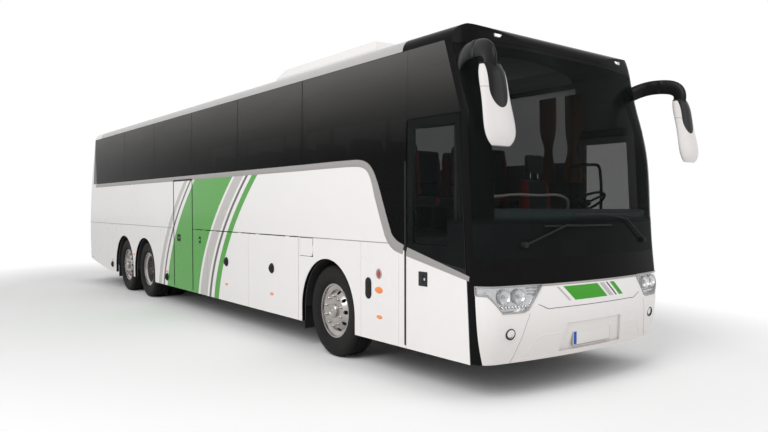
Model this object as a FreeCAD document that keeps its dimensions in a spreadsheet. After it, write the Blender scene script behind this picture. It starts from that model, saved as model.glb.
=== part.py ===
import FreeCAD, Part
import math
import os
import re
import Sketcher

# Three-axle touring coach in millimetres: +X forward, +Y left, +Z up,
# origin on the ground under the middle of the box that holds body and mirrors.

Vector = FreeCAD.Vector
document = FreeCAD.newDocument("Coach")
sheet = document.addObject("Spreadsheet::Sheet", "Dims")

sizes = {
    # whole vehicle
    "body_length": 14040,
    "body_width": 2550,
    "mirror_reach": 184,
    "front_overhang": 2783,
    "wheelbase": 6900,
    "tag_spacing": 1350,
    "skirt_height": 330,
    "skirt_kick_x": 1860,
    "skirt_kick_rise": 205,
    # clearances
    "bond_gap": 0.3,
    "leaf_gap": 6,
    "pin_gap": 0.3,
    "lamp_gap": 1.5,
    # body section
    "wall": 50,
    "glazing": 8,
    "tumblehome": 20,
    "lean_start": 2150,
    "cant_height": 3170,
    "roof_shoulder": 135,
    "trim_margin": 0.8,
    "roof_edge_in": 145,
    "crown_height": 3405,
    # front end, profile stations from low to high
    "front_bow": 5000,
    "front_height_1": 250,
    "front_height_2": 600,
    "front_height_3": 950,
    "front_height_4": 1240,
    "front_height_5": 1830,
    "front_height_6": 2320,
    "front_height_7": 2990,
    "front_height_8": 3450,
    "front_back_1": 60,
    "front_back_2": 3,
    "front_back_3": 0,
    "front_back_4": 40,
    "front_back_5": 88,
    "front_back_6": 151,
    "front_back_7": 346,
    "front_back_8": 489,
    "front_corner_1": 220,
    "front_corner_2": 220,
    "front_corner_3": 220,
    "front_corner_4": 200,
    "front_corner_5": 180,
    "front_corner_6": 150,
    "front_corner_7": 150,
    "front_corner_8": 380,
    "brow_height": 3150,
    "brow_rise": 153,
    "brow_run": 153,
    "cap_length": 1368,
    # rear end, profile stations from low to high
    "rear_bow": 9000,
    "rear_height_1": 250,
    "rear_height_2": 800,
    "rear_height_3": 1100,
    "rear_height_4": 1400,
    "rear_height_5": 2060,
    "rear_height_6": 2650,
    "rear_height_7": 3450,
    "rear_back_1": 110,
    "rear_back_2": 10,
    "rear_back_3": 0,
    "rear_back_4": 20,
    "rear_back_5": 150,
    "rear_back_6": 350,
    "rear_back_7": 690,
    "rear_corner": 160,
    "rear_roof_length": 1212,
    # seams between front end, sides and rear end
    "front_seam_low": 330,
    "front_seam_knee": 480,
    "front_seam_top": 725,
    "seam_strip": 90,
    "rear_seam_low": 262,
    "rear_seam_lean": 430,
    "flap_seam": 1327,
    # glazing
    "belt_height": 2178,
    "pane_joint": 5,
    "pane_drop": 4,
    "pillar": 90,
    "window_border": 55,
    "rear_glass_inset": 820,
    "rear_glass_lean": 130,
    "pane_1": 3040,
    "pane_2": 4971,
    "pane_3": 6884,
    "pane_4": 8713,
    "pane_5": 10627,
    "sweep_start": 1200,
    "sweep_knee": 600,
    "sweep_knee_drop": 105,
    "sweep_mid": 415,
    "sweep_mid_drop": 424,
    "sweep_low": 225,
    "sweep_low_drop": 800,
    "sweep_end_drop": 920,
    "sweep_door_drop": 110,
    # front door
    "door_rear": 1277,
    "door_top": 2506,
    "leaf": 45,
    "door_frame": 85,
    "door_glass_low": 1346,
    # mid door
    "mid_door_rear": 6057,
    "mid_door_width": 852,
    "mid_door_top": 2100,
    # door gear
    "post_radius": 25,
    "arm_reach": 430,
    "arm_width": 34,
    "arm_height": 40,
    "arm_low": 520,
    "arm_high": 2425,
    "arm_high_mid": 1900,
    "arm_depth": 125,
    "post_from_seam": 198.76,
    "post_from_jamb": 160,
    # flaps
    "small_flap_width": 655,
    "rear_flap_width": 1518,
    "front_flap_width": 1455,
    "hinge_radius": 5,
    "hinge_pin": 2.5,
    "hinge_length": 120,
    "fuel_flap_width": 311,
    "fuel_flap_height": 208,
    "fuel_flap_depth": 20,
    "fuel_flap_inset": 45,
    "fuel_flap_corner": 45,
    # arches
    "arch_top": 1102,
    "front_arch": 600,
    "front_arch_shift": 35,
    "rear_arch": 635,
    "housing_skin": 8,
    "housing_inner": 560,
    "housing_low": 660,
    # front panels and lamps
    "bumper_low": 334,
    "panel_low": 1000,
    "panel_top": 1238,
    "screen_top": 3120,
    "screen_border": 75,
    "lamp_top": 1008,
    "lamp_low": 778,
    "lamp_inner_top": 680,
    "lamp_inner_low": 843,
    "lamp_outer_low": 1100,
    "lamp_outer_mid": 1215,
    "lamp_shoulder": 930,
    "lamp_depth": 46,
    "fog_side": 1037,
    "fog_height": 600,
    "fog_radius": 44,
    "fog_depth": 24,
    "plate_width": 900,
    "plate_low": 380,
    "plate_top": 640,
    "plate_depth": 22,
    # rear panels and lamps
    "lid_width": 1640,
    "lid_low": 700,
    "lid_top": 1780,
    "lid_hinge_side": 300,
    "rear_window_width": 2060,
    "rear_window_low": 2130,
    "rear_window_top": 2960,
    "tail_inner": 1020,
    "tail_low": 760,
    "tail_top": 1560,
    "tail_depth": 30,
    # roof unit
    "unit_rear": 9223,
    "unit_length": 2550,
    "unit_width": 1900,
    "unit_height": 3560,
    "unit_slope": 420,
    # wheels and axles
    "tyre_radius": 515,
    "tyre_sides": 36,
    "tyre_width": 295,
    "bead_radius": 300,
    "rim_width": 236,
    "rim_skin": 10,
    "rim_well": 256,
    "rim_hub": 165,
    "hand_hole": 22,
    "steer_face": 126,
    "steer_hub": 190,
    "steer_cap": 78,
    "steer_hole_circle": 215,
    "hand_hole_circle": 207,
    "hand_holes": 10,
    "wheel_face": 1225,
    "twin_pitch": 335,
    "hub_bore": 45,
    "disc_out": 70,
    "disc_thick": 16,
    "cap_radius": 108,
    "cap_out": 150,
    "king_pin_side": 985,
    "king_pin_radius": 24,
    "king_pin_height": 230,
    "knuckle_radius": 52,
    "beam_height": 110,
    "beam_width": 100,
    "beam_drop": 105,
    "drive_tube": 85,
    "diff_radius": 210,
    "bellows_radius": 100,
    # inner structure
    "deck_height": 1380,
    "deck_thick": 50,
    "deck_rear": 312,
    "deck_front": 1930,
    "hold_low": 420,
    "hold_floor": 30,
    "bulkhead": 40,
    "rail_side": 450,
    "rail_width": 80,
    "rail_low": 760,
    "post_width": 60,
    "driver_floor": 980,
    "step_low": 380,
    "floor_plate": 40,
    "stair_run": 260,
    "stair_start": 900,
    "mid_well": 740,
    # inside
    "dash_top": 1670,
    "dash_low": 1060,
    "dash_depth": 420,
    "dash_width": 2280,
    "wheel_rim_radius": 225,
    "wheel_rim_tube": 14,
    "wheel_side": 620,
    "wheel_height": 1735,
    "wheel_tilt": 30,
    "column_radius": 20,
    "driver_back": 1330,
    "seat_width": 980,
    "seat_depth": 440,
    "seat_pitch": 790,
    "seat_height": 430,
    "seat_back": 1110,
    "seat_thick": 90,
    "seat_rows": 14,
    "aisle": 440,
    # engine and rear gear
    "engine_length": 1300,
    "engine_low": 620,
    "engine_height": 640,
    "engine_from_tail": 320,
    "flap_rubber": 8,
    "mud_flap_width": 320,
    "mud_flap_low": 230,
    "tow_bore": 20,
    "tow_thick": 40,
    "pad_side": 120,
    # mirrors
    "mirror_side": 1360,
    "mirror_width": 300,
    "mirror_depth": 110,
    "mirror_low": 2170,
    "mirror_high": 2830,
    "mirror_lean": 130,
    "arm_tall": 150,
    "arm_thick": 56,
    "arm_root_height": 2935,
    "arm_root_back": 725,
}

# places worked out from the driving dimensions
places = {
    "half": "body_width / 2",
    "nose": "(body_length - mirror_reach) / 2",
    "tip": "(body_length + mirror_reach) / 2",
    "tail": "nose - body_length",
    "front_axle_x": "nose - front_overhang",
    "drive_axle_x": "front_axle_x - wheelbase",
    "tag_axle_x": "drive_axle_x - tag_spacing",
    "door_x": "nose - door_rear",
    "mid_door_x": "tail + mid_door_rear",
    "mid_door_front": "mid_door_x + mid_door_width",
    "small_flap_front": "mid_door_front + small_flap_width",
    "rear_flap_front": "small_flap_front + rear_flap_width",
    "front_flap_front": "rear_flap_front + front_flap_width",
    "kick_x": "tail + skirt_kick_x",
    "cap_x": "nose - cap_length",
    "roof_rear_x": "tail + rear_roof_length",
    "deck_under": "deck_height - deck_thick",
    "deck_rear_x": "tail + deck_rear",
    "deck_front_x": "nose - deck_front",
    "hold_rear_x": "drive_axle_x + rear_arch + 400",
    "hold_front_x": "front_flap_front",
    "inner": "half - wall",
    "tyre_side": "wheel_face - tyre_width / 2",
}

for row, (word, value) in enumerate(sizes.items(), 1):
    sheet.set("A%d" % row, word)
    sheet.set("B%d" % row, str(value))
    sheet.setAlias("B%d" % row, word)
document.recompute()


def expand(text):
    def swap(match):
        word = match.group(0)
        if word in sizes:
            return "Dims." + word
        if word in places:
            return "(" + expand(places[word]) + ")"
        return word
    return re.sub(r"[a-z][a-z_0-9]*", swap, str(text))


def num(text):
    return float(sheet.evalExpression(expand(text)))


def bind(thing, **rules):
    for field, text in rules.items():
        thing.setExpression(field, expand(text))


def settle(thing, x, y, z):
    bind(thing, **{"Placement.Base.x": x, "Placement.Base.y": y, "Placement.Base.z": z})


# primitives bound to the sheet

def block(name, x, y, z, length, width, height):
    thing = document.addObject("Part::Box", name)
    bind(thing, Length=length, Width=width, Height=height)
    settle(thing, x, y, z)
    return thing


turns = {
    "x": FreeCAD.Rotation(Vector(0, 1, 0), 90),
    "y": FreeCAD.Rotation(Vector(1, 0, 0), -90),
    "z": FreeCAD.Rotation(),
}


def rod(name, along, x, y, z, radius, length):
    thing = document.addObject("Part::Cylinder", name)
    thing.Placement = FreeCAD.Placement(Vector(), turns[along])
    bind(thing, Radius=radius, Height=length)
    settle(thing, x, y, z)
    return thing


def fuse(name, *things):
    thing = document.addObject("Part::MultiFuse", name)
    thing.Shapes = list(things)
    thing.Refine = True
    return thing


def cut(name, base, *tools):
    thing = document.addObject("Part::Cut", name)
    thing.Base = base
    if len(tools) == 1:
        thing.Tool = tools[0]
    else:
        thing.Tool = fuse(name + "_tools", *tools)
    return thing


def group(name, *things):
    thing = document.addObject("Part::Compound", name)
    thing.Links = list(things)
    return thing


def fixed(name, shape):
    thing = document.addObject("Part::Feature", name)
    thing.Shape = shape
    return thing


# flat outlines: steps are points, ("arc", middle, end) or ("curve", points, first way, last way)

def wire(start, steps, lift):
    edges = []
    at = start
    for step in list(steps) + [start]:
        if step[0] == "arc":
            edges.append(Part.Arc(lift(at), lift(step[1]), lift(step[2])).toShape())
            at = step[2]
        elif step[0] == "curve":
            line = Part.BSplineCurve()
            zero = lift((0, 0))
            line.interpolate([lift(point) for point in [at] + step[1]], InitialTangent=lift(step[2]) - zero,
                             FinalTangent=lift(step[3]) - zero)
            edges.append(line.toShape())
            at = step[1][-1]
        elif math.dist(at, step) > 1e-6:
            edges.append(Part.LineSegment(lift(at), lift(step)).toShape())
            at = step
    return Part.Wire(edges)


def sideways(start, steps, low, high):
    # outline in X and Z, drawn out from y = low to y = high
    face = Part.Face(wire(start, steps, lambda p: Vector(p[0], low, p[1])))
    return face.extrude(Vector(0, high - low, 0))


def lengthways(start, steps, low, high):
    # outline in Y and Z, drawn out from x = low to x = high
    face = Part.Face(wire(start, steps, lambda p: Vector(low, p[0], p[1])))
    return face.extrude(Vector(high - low, 0, 0))


def brick(x0, x1, y0, y1, z0, z1):
    return Part.makeBox(x1 - x0, y1 - y0, z1 - z0, Vector(x0, y0, z0))


def flip(shape):
    return shape.mirror(Vector(), Vector(0, 1, 0))


half = num("half")
nose = num("nose")
tail = num("tail")
wall = num("wall")
glazing = num("glazing")
bond = num("bond_gap")
gap = num("leaf_gap")
cant = num("cant_height")
skirt = num("skirt_height")
over = 400


# body envelope, drawn in by an even inset

def sectionPrism(inset):
    out = half - inset
    lean = num("tumblehome")
    edge = num("half - tumblehome - roof_edge_in")
    shoulder = num("cant_height + roof_shoulder") - inset
    crown = num("crown_height") - inset
    start = (-out, -over)
    high = cant - inset / 2
    knee = (out - lean - num("roof_edge_in") * 0.22, high + (shoulder - high) * 0.62)
    steps = [
        (-out, num("lean_start")),
        (-out + lean, high),
        ("arc", (-knee[0], knee[1]), (-edge + inset / 2, shoulder)),
        ("arc", (0, crown), (edge - inset / 2, shoulder)),
        ("arc", knee, (out - lean, high)),
        (out, num("lean_start")),
        (out, -over),
    ]
    return lengthways(start, steps, tail - over, nose + over)


def profilePrism(inset):
    # side view: rounded brow, rounded rear roof edge, underside that kicks up to the rear
    crown = num("crown_height") - inset
    brow = num("brow_height") - inset / 2
    screen = nose - num("front_back_7") - 45 - inset
    run = num("brow_run")
    rise = num("brow_rise")
    kick = num("kick_x")
    rear = tail + num("rear_back_6") + 212 + inset
    start = (nose + over, -over)
    steps = [
        (nose + over, brow - 400),
        (screen + 105, brow - 400),
        (screen, brow),
        ("arc", (screen - run * 0.3, brow + rise * 0.66), (screen - run, brow + rise)),
        ("arc", (screen - run - 380, crown - 28), (num("cap_x"), crown + 1)),
        (num("cap_x"), crown + over),
        (num("roof_rear_x"), crown + over),
        (num("roof_rear_x"), crown + 1),
        ("arc", (rear + 330, crown - 20), (rear + 150, brow + rise + 25)),
        ("arc", (rear + 40, brow + rise * 0.7), (rear, brow)),
        (rear - 150, brow - 400),
        (tail - over, brow - 400),
        (tail - over, skirt + num("skirt_kick_rise") + 60),
        (kick - 1120, skirt + 115),
        (kick, skirt),
        (kick, -over),
    ]
    return sideways(start, steps, -half - over, half + over)


def endLoft(inset, stations, bow, back, sign):
    # plan outlines at several heights: bowed face, round corners, straight sides that the
    # body section then trims
    rings = []
    side = half - inset + num("trim_margin")
    for height, setback, corner in stations:
        tip = (nose if sign > 0 else -tail) - setback - inset
        round_corner = corner - inset
        centre = tip - bow
        reachOut = math.sqrt((bow - round_corner) ** 2 - (side - round_corner) ** 2)
        cx = centre + reachOut
        share = bow / (bow - round_corner)
        touch = (centre + reachOut * share, (side - round_corner) * share)
        lean = math.atan2(side - round_corner, reachOut)
        turn = (lean + math.pi / 2) / 2
        middle = (cx + round_corner * math.cos(turn), side - round_corner + round_corner * math.sin(turn))
        start = (back, -side)
        steps = [
            (cx, -side),
            ("arc", (middle[0], -middle[1]), (touch[0], -touch[1])),
            ("arc", (tip, 0), touch),
            ("arc", middle, (cx, side)),
            (back, side),
        ]
        rings.append(wire(start, steps, lambda p, z=height: Vector(sign * p[0], p[1], z)))
    return Part.makeLoft(rings, True, False)


def frontLoft(inset):
    stations = [(num("front_height_%d" % i), num("front_back_%d" % i), num("front_corner_%d" % i))
                for i in range(1, 9)]
    return endLoft(inset, stations, num("front_bow") - inset, num("cap_x - 400"), 1)


def rearLoft(inset):
    stations = [(num("rear_height_%d" % i), num("rear_back_%d" % i), num("rear_corner"))
                for i in range(1, 8)]
    return endLoft(inset, stations, num("rear_bow") - inset, -num("kick_x - 200"), -1)


def envelope(loft, inset):
    return loft(inset).common(sectionPrism(inset)).common(profilePrism(inset))


frontOuter = envelope(frontLoft, 0)
frontGlass = envelope(frontLoft, glazing)
frontSeat = envelope(frontLoft, glazing + bond)
frontInner = envelope(frontLoft, wall)
frontShell = frontOuter.cut(frontInner)
rearOuter = envelope(rearLoft, 0)
rearGlass = envelope(rearLoft, glazing)
rearSeat = envelope(rearLoft, glazing + bond)
rearInner = envelope(rearLoft, wall)
rearShell = rearOuter.cut(rearInner)


# seams between the ends and the sides

def frontSeam(z):
    # leans with the door, then more sharply from the top of the door to the roof
    knee = num("door_top") + gap
    backs = [num("front_seam_" + word) for word in ("low", "knee", "top")]
    if z < knee:
        return nose - backs[0] - (backs[1] - backs[0]) * (z - skirt) / (knee - skirt)
    return nose - backs[1] - (backs[2] - backs[1]) * (z - knee) / (cant - knee)


def seamLine(shift, low, high):
    knee = num("door_top") + gap
    heights = [low, knee, high] if low < knee < high else [low, high]
    return [(frontSeam(z) + shift, z) for z in heights]


def rearSeam(z):
    share = (z - skirt) / (cant - skirt)
    return tail + num("rear_seam_low") + num("rear_seam_lean") * share


def aheadOfSeam(shift, low, high):
    line = seamLine(shift, low, high)
    return sideways(line[0], [(nose + over, low), (nose + over, high)] + line[:0:-1], -half - over, half + over)


def behindSeam(shift, low, high):
    start = (rearSeam(low) - shift, low)
    return sideways(start, [(tail - over, low), (tail - over, high), (rearSeam(high) - shift, high)],
                    -half - over, half + over)


# front end

strip = num("seam_strip")
panelLow = num("panel_low")
panelTop = num("panel_top")
screenTop = num("screen_top")
bumperLow = num("bumper_low")


def frontFrame():
    piece = frontShell.common(aheadOfSeam(0, bumperLow, screenTop + bond))
    piece = piece.cut(aheadOfSeam(strip, bumperLow - 50, panelLow))
    recess = frontOuter.cut(frontSeat).common(aheadOfSeam(strip, panelTop, screenTop + over))
    piece = piece.cut(recess)
    border = num("screen_border")
    side = half - 3 * wall
    opening = lengthways(
        (-side, panelTop + border),
        [(side, panelTop + border), (side - 45, screenTop - border), (-side + 45, screenTop - border)],
        frontSeam(cant), nose + over)
    return piece.cut(opening).cut(headlampPrism(0))


def windscreen():
    skin = frontOuter.cut(frontGlass)
    return skin.common(aheadOfSeam(strip + bond, panelTop + bond, screenTop - bond))


def headlampPrism(shrink):
    top = num("lamp_top") - shrink
    low = num("lamp_low") + shrink
    start = (num("lamp_inner_top") + shrink, top)
    steps = [
        (num("lamp_inner_low") + shrink, low + 18),
        (num("lamp_inner_low") + 45, low),
        (num("lamp_outer_low") - shrink, low),
        (num("lamp_outer_mid") - shrink, num("lamp_shoulder")),
        (half + over, num("lamp_shoulder") + 40),
        (half + over, top),
    ]
    ahead = aheadOfSeam(strip + shrink, low - 50, top + 50)
    lamp = lengthways(start, steps, frontSeam(0), nose + over).common(ahead)
    return Part.makeCompound([lamp, flip(lamp)])


def headlamps():
    skin = frontOuter.cut(envelope(frontLoft, num("lamp_depth")))
    lamps = skin.common(headlampPrism(num("lamp_gap")))
    return Part.makeCompound(lamps.Solids)


def frontBumper():
    piece = frontShell.common(aheadOfSeam(strip + bond, bumperLow, panelLow - bond))
    piece = piece.cut(headlampPrism(0))
    width = num("plate_width")
    plate = lengthways(
        (-width / 2, num("plate_low")),
        [(width / 2, num("plate_low")), (width / 2 - 60, num("plate_top")),
         (-width / 2 + 60, num("plate_top"))],
        nose - 300, nose + over)
    plate = plate.cut(envelope(frontLoft, num("plate_depth")))
    piece = piece.cut(plate)
    for side in (-1, 1):
        fog = Part.makeCylinder(num("fog_radius"), over,
                                Vector(nose - num("fog_depth") - 52, side * num("fog_side"), num("fog_height")),
                                Vector(1, 0, 0))
        piece = piece.cut(fog)
    return piece


def frontCap():
    start = (num("cap_x"), cant + bond)
    low = screenTop + 2 * bond
    steps = [
        (frontSeam(cant), cant + bond),
        (frontSeam(low), low),
        (nose + over, low),
        (nose + over, num("crown_height") + over),
        (num("cap_x"), num("crown_height") + over),
    ]
    return frontShell.common(sideways(start, steps, -half - over, half + over))


# rear end

def rearBody():
    roofX = num("roof_rear_x")
    start = (rearSeam(0), 0)
    steps = [
        (tail - over, 0),
        (tail - over, num("crown_height") + over),
        (roofX, num("crown_height") + over),
        (roofX, cant + bond),
        (rearSeam(cant), cant + bond),
    ]
    piece = rearShell.common(sideways(start, steps, -half - over, half + over))
    piece = piece.cut(rearWindowPrism(0).common(rearOuter.cut(rearSeat)))
    border = num("window_border")
    piece = piece.cut(rearWindowPrism(border))
    piece = piece.cut(lidPrism(0))
    skin = rearOuter.cut(envelope(rearLoft, num("tail_depth")))
    piece = piece.cut(tailPrism(0).common(skin))
    return piece.fuse(lidPins()).removeSplitter()


def rearWindowPrism(shrink):
    side = num("rear_window_width") / 2 - shrink
    low = num("rear_window_low") + shrink
    top = num("rear_window_top") - shrink
    return lengthways((-side, low), [(side, low), (side - 70, top), (-side + 70, top)],
                      tail - over, tail + 1500)


def rearWindow():
    return rearOuter.cut(rearGlass).common(rearWindowPrism(bond))


def lidAxis():
    # hinge line just inside the skin, halfway up the seam above the lid
    z = num("lid_top") - gap
    return surfaceX(rearOuter, 0, z, -1) + 1.5, z


def lidPins():
    x, z = lidAxis()
    length = num("hinge_length")
    pins = []
    for y in (-num("lid_hinge_side"), num("lid_hinge_side")):
        pins.append(Part.makeCylinder(num("hinge_pin"), length + 24, Vector(x, y - length / 2 - 12, z),
                                      Vector(0, 1, 0)))
        for ear in (y - length / 2 - 12, y + length / 2 + 4):
            pins.append(brick(x - 4, x + 24, ear, ear + 8, z - 4, z + gap + 6))
    return pins


def lidPrism(shrink):
    side = num("lid_width") / 2 - shrink
    low = num("lid_low") + shrink
    top = num("lid_top") - 2 * shrink
    return lengthways((-side, low), [(side, low), (side, top), (-side, top)], tail - over, tail + 1200)


def engineLid():
    piece = rearOuter.cut(envelope(rearLoft, num("leaf"))).common(lidPrism(gap))
    x, z = lidAxis()
    length = num("hinge_length")
    radius = num("hinge_radius")
    for y in (-num("lid_hinge_side"), num("lid_hinge_side")):
        start = y - length / 2
        barrel = Part.makeCylinder(radius, length - 8, Vector(x, start + 4, z), Vector(0, 1, 0))
        web = brick(x - radius + 1, x + 22, start + 4, start + length - 4, z - gap - 10, z)
        bore = Part.makeCylinder(num("hinge_pin + pin_gap"), length + 40, Vector(x, start - 20, z),
                                 Vector(0, 1, 0))
        piece = piece.fuse([barrel, web]).cut(bore)
        for ear in (start - 18, start + length - 2):
            piece = piece.cut(brick(x - 20, x + 32, ear, ear + 20, z - 14, z + 20))
    return piece.removeSplitter()


def tailPrism(shrink):
    inner = num("tail_inner") + shrink
    low = num("tail_low") + shrink
    top = num("tail_top") - shrink
    lamp = lengthways((inner, low), [(half + over, low), (half + over, top), (inner, top)],
                      tail - over, tail + num("rear_corner") + 20 - shrink)
    return Part.makeCompound([lamp, flip(lamp)])


def tailLamps():
    skin = rearOuter.cut(envelope(rearLoft, num("tail_depth") - bond))
    return Part.makeCompound(skin.common(tailPrism(num("lamp_gap"))).Solids)


# sides

doorX = num("door_x")
belt = num("belt_height")
flapSeam = num("flap_seam")


def sideSlab(outer, inner, low, high):
    # left-hand wall layer between two depths below the outer face
    lean = num("tumblehome")
    bend = num("lean_start")
    top = min(high, cant)
    start = (half - outer, low)
    steps = [(half - outer, bend), (half - outer - lean, cant), (half - inner - lean, cant),
             (half - inner, bend), (half - inner, low)]
    slab = lengthways(start, steps, tail, nose)
    if top < cant:
        slab = slab.common(brick(tail, nose, 0, half + 10, low - 10, top))
    return slab


def sideOutline(frontX):
    # whole side from the rear seam to the front door, or to the front seam on the left
    kick = num("kick_x")
    rearLow = skirt + 115 + (kick - 1120 - rearSeam(skirt)) * 0.126
    start = (rearSeam(rearLow), rearLow)
    steps = [(kick - 1120, skirt + 115), (kick, skirt)]
    if frontX is None:
        steps += seamLine(-bond, skirt, cant)
    else:
        top = num("door_top")
        steps += [(frontX, skirt), (frontX, top + gap), (frontSeam(top + gap) - bond, top + gap),
                  (frontSeam(cant) - bond, cant)]
    steps += [(rearSeam(cant) + bond, cant)]
    return sideways(start, steps, 0, half + over)


def sweepPoints(lift):
    # the trim line that leaves the belt and sweeps down to the door
    return [
        (doorX - num("sweep_knee") - lift * 0.4, belt - num("sweep_knee_drop") + lift * 0.6),
        (doorX - num("sweep_mid") + lift, belt - num("sweep_mid_drop")),
        (doorX - num("sweep_low") + lift * 0.8, belt - num("sweep_low_drop") + lift * 0.4),
        (doorX, belt - num("sweep_end_drop") + lift),
    ]


def glassOutline(low, high, wholeSide):
    rearX = tail + num("rear_glass_inset")
    lean = num("rear_glass_lean")
    top = cant - num("pane_drop")
    start = (rearX - lean, top)
    steps = [
        (rearX, belt + 90),
        ("arc", (rearX + 26, belt + 26), (rearX + 90, belt)),
        (doorX - num("sweep_start"), belt),
        ("curve", sweepPoints(0), (1, 0), (1, -0.25)),
    ]
    end = belt - num("sweep_end_drop") - num("sweep_door_drop")
    steps += seamLine(-bond, end, top)
    band = sideways(start, steps, low, high)
    if not wholeSide:
        band = band.cut(brick(doorX - gap, nose, low - 1, high + 1, 0, num("door_top") + gap))
    return band


def paneJoints():
    return [tail + num("pane_%d" % i) for i in range(1, 6)] + [doorX]


def windowCuts(driverWindow):
    # apertures between the pillars, behind the bonded panes
    border = num("window_border")
    pillar = num("pillar") / 2
    joints = [tail + num("rear_glass_inset") + border] + paneJoints()
    cuts = []
    for start, end in zip(joints, joints[1:]):
        cuts.append(brick(start + pillar, end - pillar, 0, half + over, belt + border, cant - border - 8))
    if driverWindow:
        low = num("door_glass_low")
        top = num("door_top") - num("door_frame")
        cuts.append(sideways((doorX + 90, low + 60),
                             [(frontSeam(low) - 110, low - 60), (frontSeam(top) - 110, top), (doorX + 90, top)],
                             0, half + over))
    return cuts


def archCuts():
    cuts = []
    top = num("arch_top")
    for x, radius in ((num("front_axle_x - front_arch_shift"), num("front_arch")),
                      (num("drive_axle_x"), num("rear_arch")), (num("tag_axle_x"), num("rear_arch"))):
        centre = top - radius
        cuts.append(sideways((x - radius, -over),
                             [(x - radius, centre), ("arc", (x, top), (x + radius, centre)),
                              (x + radius, -over)], half - wall - 20, half + over))
    return cuts


def seamGroove(x, low, high):
    return brick(x - 3, x + 3, half - 4, half + over, low, high)


def bodySide(left):
    piece = sideSlab(0, wall, 0, cant).common(sideOutline(None if left else doorX - gap))
    tools = windowCuts(left) + archCuts()
    tools.append(sideSlab(-20, glazing + bond, 0, cant).common(glassOutline(0, half + over, left)))
    front = num("front_flap_front") + gap
    if left:
        tools.append(brick(num("mid_door_x") - gap, front, 0, half + over, -over, flapSeam + gap))
    else:
        tools.append(brick(num("mid_door_front"), front, 0, half + over, -over, flapSeam + gap))
        tools.append(brick(num("mid_door_x") - gap, num("mid_door_front") + gap, 0, half + over,
                           -over, num("mid_door_top") + gap))
        tools.append(fuelPocket())
    low = skirt - 20
    kick = num("kick_x")
    for x in (kick, kick + 576, num("mid_door_x") - 730, doorX - 819, doorX - 127):
        tools.append(seamGroove(x, low, flapSeam))
    tools.append(brick(rearSeam(flapSeam) - 10, num("mid_door_x") - gap, half - 4, half + over,
                       flapSeam - 3, flapSeam + 3))
    tools.append(brick(front, doorX - 230, half - 4, half + over, flapSeam - 3, flapSeam + 3))
    pins = flapPins(left) if left else flapPins(left) + fuelPin()
    piece = piece.cut(tools).fuse(pins).removeSplitter()
    return piece if left else flip(piece)


def flapSpans(left):
    edges = [num("mid_door_x" if left else "mid_door_front")]
    edges += [num("small_flap_front"), num("rear_flap_front"), num("front_flap_front")]
    return list(zip(edges, edges[1:]))


def hingeSpots(start, end):
    length = num("hinge_length")
    inset = 0.2 * (end - start)
    return [(start + inset - length / 2, length), (end - inset - length / 2, length)]


def flapAxis():
    return half - num("hinge_radius")


def flapPins(left):
    # hinge pins in ears under the side wall, one pair for each flap
    pins = []
    for start, end in flapSpans(left):
        for x, length in hingeSpots(start, end):
            pins.append(Part.makeCylinder(num("hinge_pin"), length + 24,
                                          Vector(x - 12, flapAxis(), flapSeam), Vector(1, 0, 0)))
            for ear in (x - 12, x + length + 4):
                pins.append(brick(ear, ear + 8, flapAxis() - 5, flapAxis() + 4, flapSeam - 4,
                                  flapSeam + gap + 1))
    return pins


def flap(start, end, left):
    depth = num("leaf")
    piece = sideSlab(0, depth, 0, flapSeam - gap).common(
        brick(start + gap / 2, end - gap / 2, 0, half + over, skirt, flapSeam - gap))
    radius = num("hinge_radius")
    for x, length in hingeSpots(start, end):
        barrel = Part.makeCylinder(radius, length - 8, Vector(x + 4, flapAxis(), flapSeam), Vector(1, 0, 0))
        web = brick(x + 4, x + length - 4, half - 2 * radius, half - 1.5, flapSeam - gap - 2, flapSeam)
        bore = Part.makeCylinder(num("hinge_pin + pin_gap"), length + 40,
                                 Vector(x - 20, flapAxis(), flapSeam), Vector(1, 0, 0))
        piece = piece.fuse(barrel).fuse(web).cut(bore)
        for ear in (x - 18, x + length - 2):
            piece = piece.cut(brick(ear, ear + 20, half - 20, half + 10, flapSeam - 14, flapSeam + 20))
    piece = piece.removeSplitter()
    return piece if left else flip(piece)


def sideGlass(left):
    skin = sideSlab(0, glazing, 0, cant).common(glassOutline(0, half + over, left))
    joint = num("pane_joint") / 2
    for x in paneJoints():
        skin = skin.cut(brick(x - joint, x + joint, 0, half + over, 0, cant + 10))
    if left:
        low = num("door_top")
        skin = skin.cut(brick(doorX, nose, 0, half + over, low - joint, low + joint))
    panes = Part.makeCompound(skin.Solids)
    return panes if left else flip(panes)


# fuel flap behind the right front arch

def fuelSpan():
    rear = num("front_flap_front + fuel_flap_inset")
    top = flapSeam - 8
    return rear, rear + num("fuel_flap_width"), top - num("fuel_flap_height"), top


def fuelPocket():
    x0, x1, z0, z1 = fuelSpan()
    return brick(x0 - gap, x1 + 2 * gap, half - num("fuel_flap_depth") - gap, half + over, z0 - gap, z1 + gap)


def fuelHinge():
    x0, x1, z0, z1 = fuelSpan()
    return Vector(x1 + 1, half - num("hinge_radius"), z1 - 150)


def fuelPin():
    foot = fuelHinge()
    pin = Part.makeCylinder(num("hinge_pin"), 92, foot - Vector(0, 0, 16))
    ears = [brick(foot.x - 3.5, foot.x + 13, foot.y - 4, foot.y + 4, z, z + 8)
            for z in (foot.z - 16, foot.z + 68)]
    return [pin] + ears


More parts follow.
